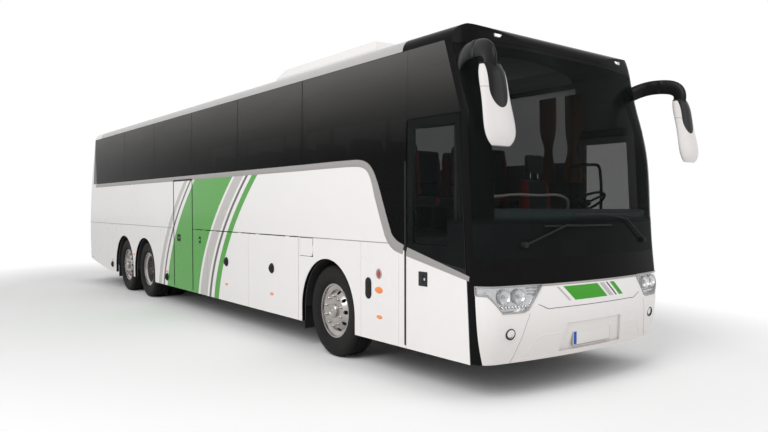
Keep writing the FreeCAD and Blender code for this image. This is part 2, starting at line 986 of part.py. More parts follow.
def fuelFlap():
    x0, x1, z0, z1 = fuelSpan()
    corner = num("fuel_flap_corner")
    bend = corner * (1 - math.sqrt(0.5))
    outline = sideways((x0, z0), [(x1 - corner, z0), ("arc", (x1 - bend, z0 + bend), (x1, z0 + corner)),
                                  (x1, z1), (x0, z1)], half - num("fuel_flap_depth"), half)
    foot = fuelHinge()
    piece = outline.fuse(Part.makeCylinder(num("hinge_radius"), 60, foot))
    for z in (foot.z - 22, foot.z + 62):
        piece = piece.cut(brick(x1 - 8, x1 + 10, half - 30, half + 10, z, z + 20))
    piece = piece.cut(Part.makeCylinder(num("hinge_pin + pin_gap"), 200, foot - Vector(0, 0, 60)))
    return flip(piece.removeSplitter())


# doors

def doorLeaf():
    low = num("skirt_height")
    top = num("door_top")
    front = -gap - 2
    start = (doorX, low)
    steps = [(frontSeam(low) + front, low), (frontSeam(top) + front, top), (doorX, top)]
    piece = sideSlab(0, num("leaf"), 0, cant).common(sideways(start, steps, 0, half + over))
    recess = sideSlab(-20, glazing + bond, 0, cant).common(doorGlassOutline(0))
    aperture = doorGlassOutline(num("door_frame"))
    return piece.cut(recess).cut(aperture)


def doorGlassOutline(border):
    # dark upper part of the door; with a border it is the clear window
    top = num("door_top") - border
    rear = doorX + border
    line = belt - num("sweep_end_drop")
    drop = num("sweep_door_drop")
    frontX = frontSeam(line) - gap - 2 - border * 0.5
    topX = frontSeam(top) - gap - 2 - border * 0.9
    lift = border * 1.05
    start = (rear, line + lift)
    steps = [(frontX, line - drop + lift * 0.6), (topX, top), (rear, top)]
    return sideways(start, steps, 0, half + over)


def doorGlass():
    inset = num("leaf_gap") / 2
    skin = sideSlab(0, glazing, 0, cant).common(doorGlassOutline(0))
    return skin.common(brick(doorX + inset, nose, 0, half + over, 0, num("door_top") - inset))


def eyes(x, y, radius, armHigh):
    # bosses on the leaf that turn on the ends of the swing arms
    parts = []
    for z in (num("arm_low"), armHigh):
        boss = Part.makeCylinder(radius + 12, 36, Vector(x, y, z + num("arm_height") + bond))
        web = brick(x - 14, x + 14, y, half - num("leaf") + 1, z + num("arm_height") + bond,
                    z + num("arm_height") + bond + 36)
        bore = Part.makeCylinder(radius + num("pin_gap"), 60, Vector(x, y, z + num("arm_height") - 10))
        parts.append(boss.fuse(web).cut(bore))
    return parts


def swingArm(postX, eyeX, armHigh):
    # upright post in the step well with two arms that carry the leaf
    y = half - num("arm_depth")
    eyeY = y + 30
    radius = num("post_radius")
    width = num("arm_width")
    low = num("step_low") + bond
    piece = Part.makeCylinder(radius, armHigh + 70 - low, Vector(postX, y, low))
    run = Vector(eyeX - postX, eyeY - y, 0)
    side = Vector(-run.y, run.x, 0).normalize() * (width / 2)
    for z in (num("arm_low"), armHigh):
        base = Vector(postX, y, z)
        face = Part.Face(Part.makePolygon([base + side, base + side + run, base - side + run, base - side,
                                           base + side]))
        pin = Part.makeCylinder(12, num("arm_height") + 36, Vector(eyeX, eyeY, z))
        end = Part.makeCylinder(width / 2, num("arm_height"), Vector(eyeX, eyeY, z))
        piece = piece.fuse([face.extrude(Vector(0, 0, num("arm_height"))), end, pin])
    return piece.removeSplitter()


def frontDoorGear():
    post = frontSeam(num("arm_high")) - num("post_from_seam")
    return post, post - num("arm_reach"), num("arm_high")


def midDoorGear():
    post = num("mid_door_x + post_from_jamb")
    return post, post + num("arm_reach"), num("arm_high_mid")


def frontDoor():
    post, eye, armHigh = frontDoorGear()
    y = half - num("arm_depth") + 30
    piece = doorLeaf().fuse(eyes(eye, y, 12, armHigh)).removeSplitter()
    return flip(piece)


def midDoor():
    post, eye, armHigh = midDoorGear()
    y = half - num("arm_depth") + 30
    leaf = sideSlab(0, num("leaf"), skirt, cant).common(
        brick(num("mid_door_x"), num("mid_door_front"), 0, half + over, skirt, num("mid_door_top")))
    return flip(leaf.fuse(eyes(eye, y, 12, armHigh)).removeSplitter())


# roof

def roof():
    shell = sectionPrism(0).cut(sectionPrism(wall))
    return shell.common(brick(num("roof_rear_x") + bond, num("cap_x") - bond, -half - 10, half + 10,
                              cant + bond, num("crown_height") + over))


def roofUnit():
    x0 = num("tail + unit_rear")
    x1 = x0 + num("unit_length")
    side = num("unit_width") / 2
    top = num("unit_height")
    slope = num("unit_slope")
    start = (x0, cant)
    steps = [(x0, num("crown_height") - 60), (x0 + slope * 0.5, top - 6), (x1 - slope, top),
             ("arc", (x1 - slope * 0.45, top - 26), (x1, num("crown_height") - 70)), (x1, cant)]
    profile = sideways(start, steps, -side, side)
    section = lengthways((-side, cant), [(-side, num("crown_height")), (-side + 70, top - 40),
                                         ("arc", (0, top + 8), (side - 70, top - 40)),
                                         (side, num("crown_height")), (side, cant)], x0 - 10, x1 + 10)
    return profile.common(section).cut(sectionPrism(-bond))


# mirrors

def mirrorHousing():
    rings = []
    tip = num("tip")
    y = num("mirror_side")
    low = num("mirror_low")
    high = num("mirror_high")
    width = num("mirror_width") / 2
    depth = num("mirror_depth") / 2
    lean = num("mirror_lean")
    for share, across, deep in ((0, 0.62, 0.55), (0.07, 0.9, 0.9), (0.5, 1, 1), (0.86, 0.9, 1.25),
                                (1, 0.7, 1.0)):
        z = low + (high - low) * share
        x = tip - depth + 6 - (lean * share ** 1.3 if share >= 0.07 else 6)
        ring = Part.Ellipse(Vector(x, y, z), width * across, depth * deep)
        edge = Part.Edge(ring)
        edge.rotate(Vector(x, y, z), Vector(0, 0, 1), 90)
        rings.append(Part.Wire([edge]))
    return Part.makeLoft(rings, True, False)


def mirrorArm():
    y = num("mirror_side")
    root = Vector(num("nose - arm_root_back") + 190, half - 50, num("arm_root_height"))
    high = num("mirror_high")
    tipX = num("tip - mirror_depth / 2 - mirror_lean")
    path = Part.BSplineCurve()
    path.interpolate([root, Vector(root.x + 110, half + 5, root.z + 45),
                      Vector((root.x + tipX) / 2 + 60, (half + y) / 2 + 10, high + 165),
                      Vector(tipX - 20, y, high + 105), Vector(tipX, y, high - 20)])
    line = Part.Wire([path.toShape()])
    start = path.tangent(path.FirstParameter)[0]
    side = start.cross(Vector(0, 0, 1)).normalize() * num("arm_thick") / 2
    rise = side.cross(start).normalize() * num("arm_tall") / 2
    section = Part.Ellipse(root + rise, root + side, root)
    return line.makePipeShell([Part.Wire([section.toShape()])], True, False)


def mirrorRight():
    wallLayer = sideSlab(0, wall, 0, cant).cut(aheadOfSeam(0, skirt, cant))
    piece = mirrorArm().cut([frontOuter, wallLayer]).fuse(mirrorHousing())
    return flip(piece)


# wheels: revolved about their own axle, outer face towards +Y of the left side

def ring(points, side, y, x, z):
    face = Part.Face(wire(points[0], points[1:], lambda p: Vector(0, p[0], p[1])))
    solid = face.revolve(Vector(), Vector(0, 1, 0), 360)
    solid = Part.Solid(solid) if solid.ShapeType == "Shell" else solid
    if side < 0:
        solid = flip(solid)
    solid.translate(Vector(x, side * y, z))
    return solid


def tyreProfile():
    # half section from the bead over the bulged side wall to the tread, as (y, radius)
    w = num("tyre_width") / 2
    r = num("tyre_radius")
    bead = num("bead_radius")
    side = [(num("rim_width") / 2 - 14, bead), (w - 4, bead + (r - bead) * 0.3),
            (w, bead + (r - bead) * 0.55), (w - 12, r - 34), (w - 38, r)]
    return side + [(-y, radius) for y, radius in reversed(side)]


def polygonRing(profile, count):
    # ring of flat facets: every band of the profile closes round the axle
    faces = []
    turns = [2 * math.pi * (step + 0.5) / count for step in range(count + 1)]
    stretch = 1 / math.cos(math.pi / count)

    def spot(point, turn):
        return Vector(point[1] * stretch * math.cos(turn), point[0], point[1] * stretch * math.sin(turn))

    for first, second in zip(profile, profile[1:] + profile[:1]):
        for a, b in zip(turns, turns[1:]):
            corners = [spot(first, a), spot(first, b), spot(second, b), spot(second, a)]
            faces.append(Part.Face(Part.makePolygon(corners + corners[:1])))
    solid = Part.Solid(Part.Shell(faces))
    return solid if solid.Volume > 0 else solid.reversed()


def tyre(x, side, inner):
    base = polygonRing(tyreProfile(), int(num("tyre_sides")))
    pieces = []
    for shift in (0, num("twin_pitch"))[:2 if inner else 1]:
        piece = base.copy()
        piece.translate(Vector(x, side * (num("tyre_side") - shift), num("tyre_radius")))
        pieces.append(piece)
    return Part.makeCompound(pieces) if inner else pieces[0]


def rimProfile(disc, cap, bore):
    # cross-section from the inner flange over the well to the disc and the hub
    w = num("rim_width") / 2
    bead = num("bead_radius") - bond
    skin = num("rim_skin")
    well = num("rim_well")
    thick = num("disc_thick")
    hub = num("rim_hub")
    return [
        (-w, bead + 6), (-w, bead - skin), (-w + 30, bead - skin - 6), (-w + 52, well - skin),
        (disc - 40, well - skin), (disc - 34, well - 34), (disc - 10, well - 52), (disc, hub),
        (disc, bore), (cap, bore), (cap, num("cap_radius") - 12), (cap - 14, num("cap_radius")),
        (disc + thick, num("cap_radius")), (disc + thick, hub), (disc + thick - 10, well - 44),
        (disc - 10, well - 16), (w - 40, well - skin), (w - 20, bead - skin - 4), (w, bead - skin), (w, bead + 6),
        (w - 9, bead + 6), (w - 12, bead), (w - 36, bead - 4), (w - 54, well), (-w + 54, well),
        (-w + 36, bead - 4), (-w + 12, bead), (-w + 9, bead + 6),
    ]


def steerProfile(face, cap, bore):
    # the disc stands out to the wall of the tyre and ends in a flat face for the studs
    w = num("rim_width") / 2
    bead = num("bead_radius") - bond
    skin = num("rim_skin")
    well = num("rim_well")
    hub = num("steer_hub")
    boss = num("steer_cap")
    back = face - num("disc_thick")
    return [
        (-w, bead + 6), (-w, bead - skin), (-w + 30, bead - skin - 6), (-w + 52, well - skin),
        (w - 70, well - skin), (w - 52, well - skin - 16), (back, hub), (back, bore),
        (cap, bore), (cap, boss - 10), (cap - 10, boss), (face, boss), (face, hub - 2), (face - 8, hub + 8),
        (w - 36, well - 22), (w - 30, well - skin - 2), (w - 20, bead - skin - 4), (w, bead - skin), (w, bead + 6),
        (w - 9, bead + 6), (w - 12, bead), (w - 36, bead - 4), (w - 54, well), (-w + 54, well),
        (-w + 36, bead - 4), (-w + 12, bead), (-w + 9, bead + 6),
    ]


def handHoles(solid, disc, circle, side, y, x, z):
    holes = []
    count = int(num("hand_holes"))
    radius = num("hand_hole")
    for step in range(count):
        turn = 2 * math.pi * step / count
        centre = Vector(x + circle * math.cos(turn), side * (y + disc - 80), z + circle * math.sin(turn))
        holes.append(Part.makeCylinder(radius, 160, centre, Vector(0, side, 0)))
    return solid.cut(holes)


def rim(x, side, twin):
    y = num("tyre_side")
    z = num("tyre_radius")
    bore = num("hub_bore")
    if not twin:
        face = num("steer_face")
        solid = ring(steerProfile(face, num("cap_out"), bore), side, y, x, z)
        return handHoles(solid, face, num("steer_hole_circle"), side, y, x, z)
    circle = num("hand_hole_circle")
    disc = bond / 2 - num("twin_pitch") / 2
    cap = disc + num("cap_out") - num("disc_out")
    outer = handHoles(ring(rimProfile(disc, cap, bore), side, y, x, z), disc, circle, side, y, x, z)
    inner = ring(rimProfile(disc, disc + num("disc_thick") + 12, bore), -side, 0, 0, 0)
    inner.translate(Vector(x, side * (y - num("twin_pitch")), z))
    inner = handHoles(inner, -disc - num("twin_pitch") - 30, circle, side, y, x, z)
    return Part.makeCompound([outer, inner])


# inner structure, bound to the sheet

def yBlock(name, x, side, z, length, near, far, height):
    # block between two distances from the middle plane, on the left (1) or right (-1)
    y = near if side > 0 else "-(%s)" % far
    return block(name, x, y, z, length, "%s - (%s)" % (far, near), height)


def deck():
    plate = block("deck_plate", "deck_rear_x", "-(inner - bond_gap)", "deck_under",
                  "deck_front_x - deck_rear_x", "2 * (inner - bond_gap)", "deck_thick")
    well = block("deck_well", "mid_door_x", "-inner", "deck_under - 1", "mid_door_width",
                 "inner - mid_well", "deck_thick + 2")
    return cut("deck_cut", plate, well)


def underframe():
    holdWide = "2 * (inner - post_width)"
    plate = block("hold_plate", "hold_rear_x", "-(inner - post_width)", "hold_low",
                  "hold_front_x + bulkhead - hold_rear_x", holdWide, "hold_floor")
    stairwell = block("hold_stairwell", "mid_door_x", "-inner", "hold_low - 1", "mid_door_width",
                      "inner - mid_well", "hold_floor + 2")
    parts = [
        cut("hold_plate_cut", plate, stairwell),
        block("bulkhead_rear", "hold_rear_x", "-(inner - post_width)", "hold_low", "bulkhead", holdWide,
              "deck_under - bond_gap - hold_low"),
        block("bulkhead_front", "hold_front_x", "-(inner - post_width)", "hold_low", "bulkhead", holdWide,
              "deck_under - bond_gap - hold_low"),
        block("well_wall", "mid_door_x - bulkhead", "-(mid_well - bond_gap)", "step_low",
              "mid_door_width + 2 * bulkhead", "bulkhead", "deck_under - bond_gap - step_low"),
        block("well_step", "mid_door_x - bulkhead", "-(inner - 20)", "step_low - floor_plate",
              "mid_door_width + 2 * bulkhead", "inner - 20 - mid_well + bulkhead", "floor_plate"),
        block("well_step_two", "mid_door_x - bulkhead", "-(mid_well + stair_run)", "step_low",
              "mid_door_width + 2 * bulkhead", "stair_run + 10", "(deck_under - step_low) / 2"),
        block("well_rear", "mid_door_x - bulkhead", "-(inner - bond_gap)", "step_low - floor_plate", "bulkhead",
              "inner - bond_gap - mid_well + bulkhead", "deck_under - bond_gap - step_low + floor_plate"),
        block("well_front", "mid_door_front", "-(inner - bond_gap)", "step_low - floor_plate", "bulkhead",
              "inner - bond_gap - mid_well + bulkhead", "deck_under - bond_gap - step_low + floor_plate"),
    ]
    for side, hand in ((1, "left"), (-1, "right")):
        for spot in ("small_flap_front", "rear_flap_front"):
            parts.append(yBlock("post_%s_%s" % (spot, hand), "%s - post_width / 2" % spot, side, "hold_low",
                                "post_width", "inner - post_width - 1", "inner - bond_gap",
                                "deck_under - bond_gap - hold_low"))
        for spot in ("hold_rear_x", "hold_front_x"):
            parts.append(yBlock("post_%s_%s" % (spot, hand), spot, side, "skirt_height + 30", "bulkhead",
                                "inner - post_width - 1", "inner - bond_gap",
                                "deck_under - bond_gap - skirt_height - 30"))
        rail = "driver_floor - floor_plate - bond_gap - rail_low"
        front = "nose - 370" if side > 0 else "door_x - 60 - bond_gap"
        parts.append(yBlock("rail_front_" + hand, "hold_front_x", side, "rail_low",
                            front + " - hold_front_x", "rail_side - rail_width / 2",
                            "rail_side + rail_width / 2", rail))
        parts.append(yBlock("rail_rear_" + hand, "tail + 260", side, "rail_low",
                            "hold_rear_x + bulkhead - tail - 260", "rail_side - rail_width / 2",
                            "rail_side + rail_width / 2", rail))
        parts.append(yBlock("horn_front_" + hand, "nose - 400", side, "hold_low", "60",
                            "rail_side - rail_width / 2", "rail_side + rail_width / 2", "rail_low - hold_low + 20"))
        parts.append(yBlock("deck_leg_" + hand, "tail + 400", side, "rail_low", "60",
                            "rail_side - rail_width / 2", "rail_side + rail_width / 2",
                            "deck_under - bond_gap - rail_low"))
    tread = "(step_low + 2 * (driver_floor - step_low) / 3 - floor_plate)"
    parts.append(yBlock("rail_drop", "door_x - 200", -1, "rail_low - 160", "120",
                        "rail_side - rail_width / 2", "rail_side + rail_width / 2", "200"))
    parts.append(yBlock("rail_dip", "door_x - 200", -1, "rail_low - 160", "nose - 370 - door_x + 200",
                        "rail_side - rail_width / 2", "rail_side + rail_width / 2",
                        tread + " - bond_gap - rail_low + 160"))
    parts.append(block("cross_front", "nose - 400", "-900", "hold_low", "60", "1800", "120"))
    parts.append(block("cross_rear", "tail + 260", "-900", "rail_low", "60", "1800", "120"))
    parts.append(block("cross_tag", "tag_axle_x - rear_arch - 80", "-(inner - 30)", "rail_low - 160", "60",
                       "2 * (inner - 30)", "180"))
    parts.append(block("tow_plate", "tail + 180", "-70", "rail_low - 60", "140", "140", "tow_thick"))
    parts.append(block("tow_hanger", "tail + 260", "-70", "rail_low - 60", "60", "140", "80"))
    frame = fuse("underframe_body", *parts)
    bore = rod("tow_bore_tool", "z", "tail + 215", "0", "rail_low - 80", "tow_bore", "120")
    return cut("underframe_cut", frame, bore)


def frontFloor():
    parts = [
        block("platform", "deck_front_x + bond_gap", "-(stair_start - 2 * stair_run)", "driver_floor - floor_plate",
              "nose - 560 - deck_front_x", "stair_start - 2 * stair_run + inner - bond_gap", "floor_plate"),
        block("platform_riser", "deck_front_x + bond_gap", "-(inner - bond_gap)", "driver_floor - floor_plate",
              "floor_plate", "2 * (inner - bond_gap)", "deck_height - driver_floor + floor_plate"),
        block("stair_wall", "door_x - 60", "-(inner - bond_gap)", "step_low - floor_plate", "floor_plate",
              "inner - bond_gap - (stair_start - 2 * stair_run)", "deck_height - step_low + floor_plate"),
        block("side_floor", "deck_front_x + bond_gap", "-(inner - bond_gap)", "deck_height - floor_plate",
              "door_x - 20 - deck_front_x - bond_gap", "inner - bond_gap - 300", "floor_plate"),
        block("entry_step", "door_x - 60", "-(inner - 20)", "step_low - floor_plate", "nose - 560 - door_x + 60",
              "inner - 20 - stair_start", "floor_plate"),
    ]
    rise = "((driver_floor - step_low) / 3)"
    for step in range(3):
        y = "stair_start - %d * stair_run" % step
        parts.append(block("riser_%d" % step, "door_x - 60", "-(%s)" % y,
                           "step_low - floor_plate + %d * %s" % (step, rise), "nose - 560 - door_x + 60",
                           "floor_plate", rise + " + floor_plate"))
        if step < 2:
            parts.append(block("tread_%d" % step, "door_x - 60", "-(%s)" % y,
                               "step_low - floor_plate + %d * %s" % (step + 1, rise), "nose - 560 - door_x + 60",
                               "stair_run + floor_plate", "floor_plate"))
    floor = fuse("front_floor_body", *parts)
    notch = block("rail_notch", "door_x - 61", "-(rail_side + rail_width / 2 + bond_gap)",
                  "rail_low - 160 - bond_gap", "floor_plate + 2", "rail_width + 2 * bond_gap",
                  "step_low + 2 * (driver_floor - step_low) / 3 - floor_plate - rail_low + 160 + bond_gap")
    return cut("front_floor_cut", floor, notch)


def wheelHousings():
    skin = num("housing_skin")
    near = num("housing_inner")
    far = num("inner - bond_gap")
    top = num("arch_top")
    parts = []
    for spots, radius in (([num("front_axle_x - front_arch_shift")], num("front_arch")),
                          ([num("drive_axle_x"), num("tag_axle_x")], num("rear_arch"))):
        low = num("housing_low")
        shells = []
        for x in spots:
            centre = top - radius
            outer = sideways((x - radius - skin, centre),
                             [("arc", (x, top + skin), (x + radius + skin, centre))], near, far)
            inner = sideways((x - radius, centre - 1),
                             [(x - radius, centre), ("arc", (x, top), (x + radius, centre)),
                              (x + radius, centre - 1)], near - 1, far + 1)
            shells.append(outer.cut(inner))
        plate = sideways((min(spots) - radius, low), [(max(spots) + radius, low), (max(spots) + radius, low + 90),
                         (max(spots) + radius * 0.45, top), (min(spots) - radius * 0.45, top),
                         (min(spots) - radius, low + 90)], near - skin, near + 0.1)
        piece = shells[0].fuse(shells[1:] + [plate])
        parts += [piece, flip(piece)]
    return Part.makeCompound(parts)


def dashboard():
    low = num("dash_low")
    top = num("dash_top")
    x = nose - 580
    outline = sideways((x, low), [(x, top - 200), ("arc", (x + 60, top - 60), (x + 200, top)),
                                  ("arc", (x + 330, top - 10), (x + 420, top - 60)),
                                  (nose, top - 60), (nose, low)],
                       -num("dash_width") / 2, num("dash_width") / 2)
    body = outline.common(envelope(frontLoft, wall + bond))
    column = Part.makeCylinder(num("column_radius"), 420, wheelCentre() - wheelAxis() * 420, wheelAxis())
    column = column.cut(Part.makeCylinder(60, 40, wheelCentre() - wheelAxis() * 30, wheelAxis()))
    return body.fuse(column)


def wheelAxis():
    tilt = math.radians(num("wheel_tilt"))
    return Vector(-math.sin(tilt), 0, math.cos(tilt))


def wheelCentre():
    return Vector(nose - 668, num("wheel_side"), num("wheel_height"))


def steeringWheel():
    centre = wheelCentre()
    axis = wheelAxis()
    rimRadius = num("wheel_rim_radius")
    piece = Part.makeTorus(rimRadius, num("wheel_rim_tube"), centre, axis)
    piece = piece.fuse(Part.makeCylinder(58, 40 - bond, centre - axis * (30 - bond), axis))
    across = Vector(0, 1, 0)
    for turn in (-90, 30, 150):
        spoke = Part.makeBox(rimRadius - 40, 34, 14, Vector(40, -17, -7))
        spoke.Placement = FreeCAD.Placement(centre - axis * 6, FreeCAD.Rotation(
            FreeCAD.Rotation(across, -num("wheel_tilt")).multVec(Vector(0, 0, 1)), turn).multiply(
            FreeCAD.Rotation(across, -num("wheel_tilt"))))
        piece = piece.fuse(spoke)
    return piece


def seatShape(x, floor, low, high, near, far, legs):
    # cushion, back and headrest in one upholstered body on a leg
    depth = num("seat_depth")
    thick = num("seat_thick")
    top = floor + high
    cushion = floor + low
    outline = sideways(
        (x, cushion - 110),
        [(x + depth, cushion - 90), ("arc", (x + depth + 30, cushion - 40), (x + depth, cushion)),
         (x + thick, cushion - 30), (x + thick - 30, cushion + 300), (x + 10, top - 40),
         ("arc", (x - 25, top), (x - 60, top - 40)), (x - 40, cushion + 120)],
        near, far)
    legHigh = cushion - 100 - floor - bond
    leg = brick(x + 100, x + 340, near + legs, far - legs, floor + bond, floor + bond + legHigh)
    return outline.fuse(leg)


def passengerSeats():
    rows = []
    first = num("deck_front_x") - 560
    near = num("aisle") / 2
    far = near + num("seat_width")
    wellRear = num("mid_door_x") - 40
    wellFront = num("mid_door_front") + 40
    for row in range(int(num("seat_rows"))):
        x = first - row * num("seat_pitch")
        if x < num("deck_rear_x") + 120:
            break
        seat = seatShape(x, num("deck_height"), num("seat_height"), num("seat_back"), near, far, 250)
        rows.append(seat)
        if x + 480 < wellRear or x - 80 > wellFront:
            rows.append(flip(seat))
    return Part.makeCompound(rows)


def driverSeat():
    side = num("wheel_side")
    return seatShape(nose - 1420, num("driver_floor"), 440, num("driver_back"), side - 250, side + 250, 120)


def surfaceX(solid, y, z, sign):
    # where the outer skin lies along X at a given place across and up
    line = Part.makeLine(Vector(sign * 4000, y, z), Vector(sign * 9000, y, z))
    box = line.common(solid).BoundBox
    return box.XMax if sign > 0 else box.XMin


def wiper(pivot, elbow, tipLow, tipHigh):
    # arm and blade that lie on the windscreen; points are (y, z)
    def on(point, lift):
        return Vector(surfaceX(frontOuter, point[0], point[1], 1) + lift, point[0], point[1])

    def stick(a, b, radius):
        return Part.makeCylinder(radius, a.distanceToPoint(b), a, b - a)

    boss = Part.makeCylinder(26, 64, on(pivot, -18), Vector(1, 0, 0)).cut(envelope(frontLoft, -bond))
    arm = stick(on(pivot, 36), on(elbow, 34), 9)
    joint = Part.makeSphere(13, on(elbow, 34))
    height = (tipLow[1] + tipHigh[1]) / 2
    across = [tipLow[0] + (tipHigh[0] - tipLow[0]) * step / 6 for step in range(7)]
    rail = [on((y, height), 6) for y in across] + [on((y, height), 20) for y in reversed(across)]
    blade = Part.Face(Part.makePolygon([Vector(p.x, p.y, height) for p in rail + rail[:1]]))
    blade = blade.extrude(Vector(0, 0, 16))
    middle = on((across[3], height), 13) + Vector(0, 0, 8)
    return boss.fuse([arm, joint, blade, stick(on(elbow, 34), middle, 7)])


def wipers():
    return Part.makeCompound([wiper((-849, 1358), (-366, 1526), (-616, 1514), (301, 1507)),
                              wiper((900, 1358), (560, 1576), (-239, 1618), (647, 1613))])


def engine():
    wide = "rail_side - rail_width / 2 - bond_gap"
    return block("engine_block", "tail + engine_from_tail", "-(%s)" % wide, "engine_low", "engine_length",
                 "2 * (%s)" % wide, "engine_height")


def mudFlaps():
    parts = []
    for spot in ("hold_front_x + bulkhead + bond_gap", "tag_axle_x - rear_arch - 20 + bond_gap"):
        for side, hand in ((1, "left"), (-1, "right")):
            parts.append(yBlock("mud_flap_%s_%d" % (hand, len(parts)), spot, side, "mud_flap_low", "flap_rubber",
                                "inner - mud_flap_width", "inner - 8", "420"))
    return group("mud_flap_set", *parts)


def frontAxle():
    centre = "(tyre_radius - beam_drop)"
    parts = [block("front_beam", "front_axle_x - beam_width / 2", "-(king_pin_side - 30)",
                   centre + " - beam_height / 2", "beam_width", "2 * (king_pin_side - 30)", "beam_height")]
    for side, hand in ((1, "left"), (-1, "right")):
        y = "%d * king_pin_side" % side
        parts.append(rod("beam_eye_" + hand, "z", "front_axle_x", y, centre + " - beam_height / 2",
                         "knuckle_radius", "beam_height"))
        parts.append(rod("king_pin_" + hand, "z", "front_axle_x", y, centre + " - king_pin_height / 2",
                         "king_pin_radius", "king_pin_height"))
        parts.append(rod("bellows_front_" + hand, "z", "front_axle_x", "%d * rail_side" % side,
                         centre + " + beam_height / 2 - 1", "bellows_radius",
                         "rail_low - bond_gap - %s - beam_height / 2 + 1" % centre))
    return fuse("front_axle_body", *parts)


def knuckle(side, hand):
    centre = "(tyre_radius - beam_drop)"
    y = "%d * king_pin_side" % side
    lug = "(king_pin_height / 2 - beam_height / 2 - 2)"
    parts = [
        rod("lug_low_" + hand, "z", "front_axle_x", y, centre + " - king_pin_height / 2", "knuckle_radius", lug),
        rod("lug_high_" + hand, "z", "front_axle_x", y, centre + " + beam_height / 2 + 2", "knuckle_radius", lug),
        yBlock("knuckle_web_" + hand, "front_axle_x - 45", side, centre + " - king_pin_height / 2", "90",
               "king_pin_side + knuckle_radius + 6", "king_pin_side + knuckle_radius + 36", "king_pin_height + 60"),
    ]
    for word, z in (("low", centre + " - king_pin_height / 2"), ("high", centre + " + beam_height / 2 + 2")):
        parts.append(yBlock("lug_arm_%s_%s" % (word, hand), "front_axle_x - 40", side, z, "80",
                            "king_pin_side + 30", "king_pin_side + knuckle_radius + 10", lug))
    spindle = rod("spindle_" + hand, "y", "front_axle_x",
                  "king_pin_side + knuckle_radius + 10" if side > 0 else "-(tyre_side + cap_out - 20)",
                  "tyre_radius", "hub_bore - pin_gap",
                  "tyre_side + cap_out - 20 - king_pin_side - knuckle_radius - 10")
    body = fuse("knuckle_body_" + hand, spindle, *parts)
    bore = rod("knuckle_bore_" + hand, "z", "front_axle_x", y, "0", "king_pin_radius + pin_gap", "1000")
    return cut("knuckle_cut_" + hand, body, bore)


def rearAxles():
    spindle = "hub_bore - pin_gap"
    driveEnd = "(tyre_side - twin_pitch / 2 + cap_out - disc_out - 15)"
    tagEnd = "(tyre_side + cap_out - 20)"
    driveTube = "(tyre_side - twin_pitch / 2 - disc_thick - 40)"
    tagTube = "(tyre_side + disc_out - 60)"
    drive = [rod("drive_spindle", "y", "drive_axle_x", "-" + driveEnd, "tyre_radius", spindle, "2 * " + driveEnd),
             rod("drive_housing", "y", "drive_axle_x", "-" + driveTube, "tyre_radius", "drive_tube",
                 "2 * " + driveTube),
             rod("differential", "y", "drive_axle_x", "-170", "tyre_radius", "diff_radius", "340")]
    tag = [rod("tag_spindle", "y", "tag_axle_x", "-" + tagEnd, "tyre_radius", spindle, "2 * " + tagEnd),
           rod("tag_beam", "y", "tag_axle_x", "-" + tagTube, "tyre_radius", "drive_tube - 20", "2 * " + tagTube)]
    for side, hand in ((1, "left"), (-1, "right")):
        for word, parts in (("drive", drive), ("tag", tag)):
            parts.append(rod("bellows_%s_%s" % (word, hand), "z", word + "_axle_x", "%d * rail_side" % side,
                             "tyre_radius", "bellows_radius", "rail_low - bond_gap - tyre_radius"))
    return group("rear_axle_pair", fuse("drive_axle_body", *drive), fuse("tag_axle_body", *tag))


document.recompute()

nodes = {}


def keep(name, thing):
    thing.Label = name
    nodes[name] = thing
    return thing


def keepShape(name, shape):
    return keep(name, fixed(name, shape))


keepShape("front_frame", frontFrame())
keepShape("windscreen", windscreen())
keepShape("headlamps", headlamps())
keepShape("front_bumper", frontBumper())
keepShape("front_cap", frontCap())
keepShape("rear_body", rearBody())
keepShape("rear_window", rearWindow())
keepShape("engine_lid", engineLid())
keepShape("tail_lamps", tailLamps())
keepShape("body_side_left", bodySide(True))
keepShape("body_side_right", bodySide(False))
keepShape("side_glass_left", sideGlass(True))
keepShape("side_glass_right", sideGlass(False))
keepShape("roof", roof())
keepShape("roof_unit", roofUnit())
for word, index in (("small", 0), ("rear", 1), ("front", 2)):
    span = flapSpans(False)[index]
    keepShape("flap_right_" + word, flap(span[0], span[1], False))
for word, index in (("rear", 0), ("mid", 1), ("front", 2)):
    span = flapSpans(True)[index]
    keepShape("flap_left_" + word, flap(span[0], span[1], True))
keepShape("fuel_flap", fuelFlap())
keepShape("front_door", frontDoor())
keepShape("front_door_glass", flip(doorGlass()))
keepShape("front_door_arm", flip(swingArm(*frontDoorGear())))
keep("deck", deck())
keep("underframe", underframe())
keep("front_floor", frontFloor())
keepShape("wheel_housings", wheelHousings())
keepShape("dashboard", dashboard())
keepShape("steering_wheel", steeringWheel())
keepShape("passenger_seats", passengerSeats())
keepShape("driver_seat", driverSeat())
keepShape("wipers", wipers())
keep("engine", engine())
keep("mud_flaps", mudFlaps())
keep("front_axle", frontAxle())
keep("knuckle_left", knuckle(1, "left"))
keep("knuckle_right", knuckle(-1, "right"))
keep("rear_axles", rearAxles())
keepShape("mid_door", midDoor())
keepShape("mid_door_arm", flip(swingArm(*midDoorGear())))
mirror = mirrorRight()
keepShape("mirror_right", mirror)
keepShape("mirror_left", flip(mirror))

for word, place, twin in (("front", "front_axle_x", False), ("drive", "drive_axle_x", True),
                          ("tag", "tag_axle_x", False)):
    for hand, side in (("left", 1), ("right", -1)):
        keepShape("tyre_%s_%s" % (word, hand), tyre(num(place), side, twin))
        keepShape("rim_%s_%s" % (word, hand), rim(num(place), side, twin))

document.recompute()

for thing in document.Objects:
    if "Invalid" in thing.State or "Error" in thing.State:
        raise RuntimeError("not built: " + thing.Name)
os.makedirs("parts", exist_ok=True)
for name, thing in nodes.items():
    if thing.Shape.isNull() or not thing.Shape.isValid():
        raise RuntimeError("no sound shape: " + name)
    thing.Shape.exportStep("parts/%s.step" % name)
print(len(nodes), "pieces written")
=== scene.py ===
import math

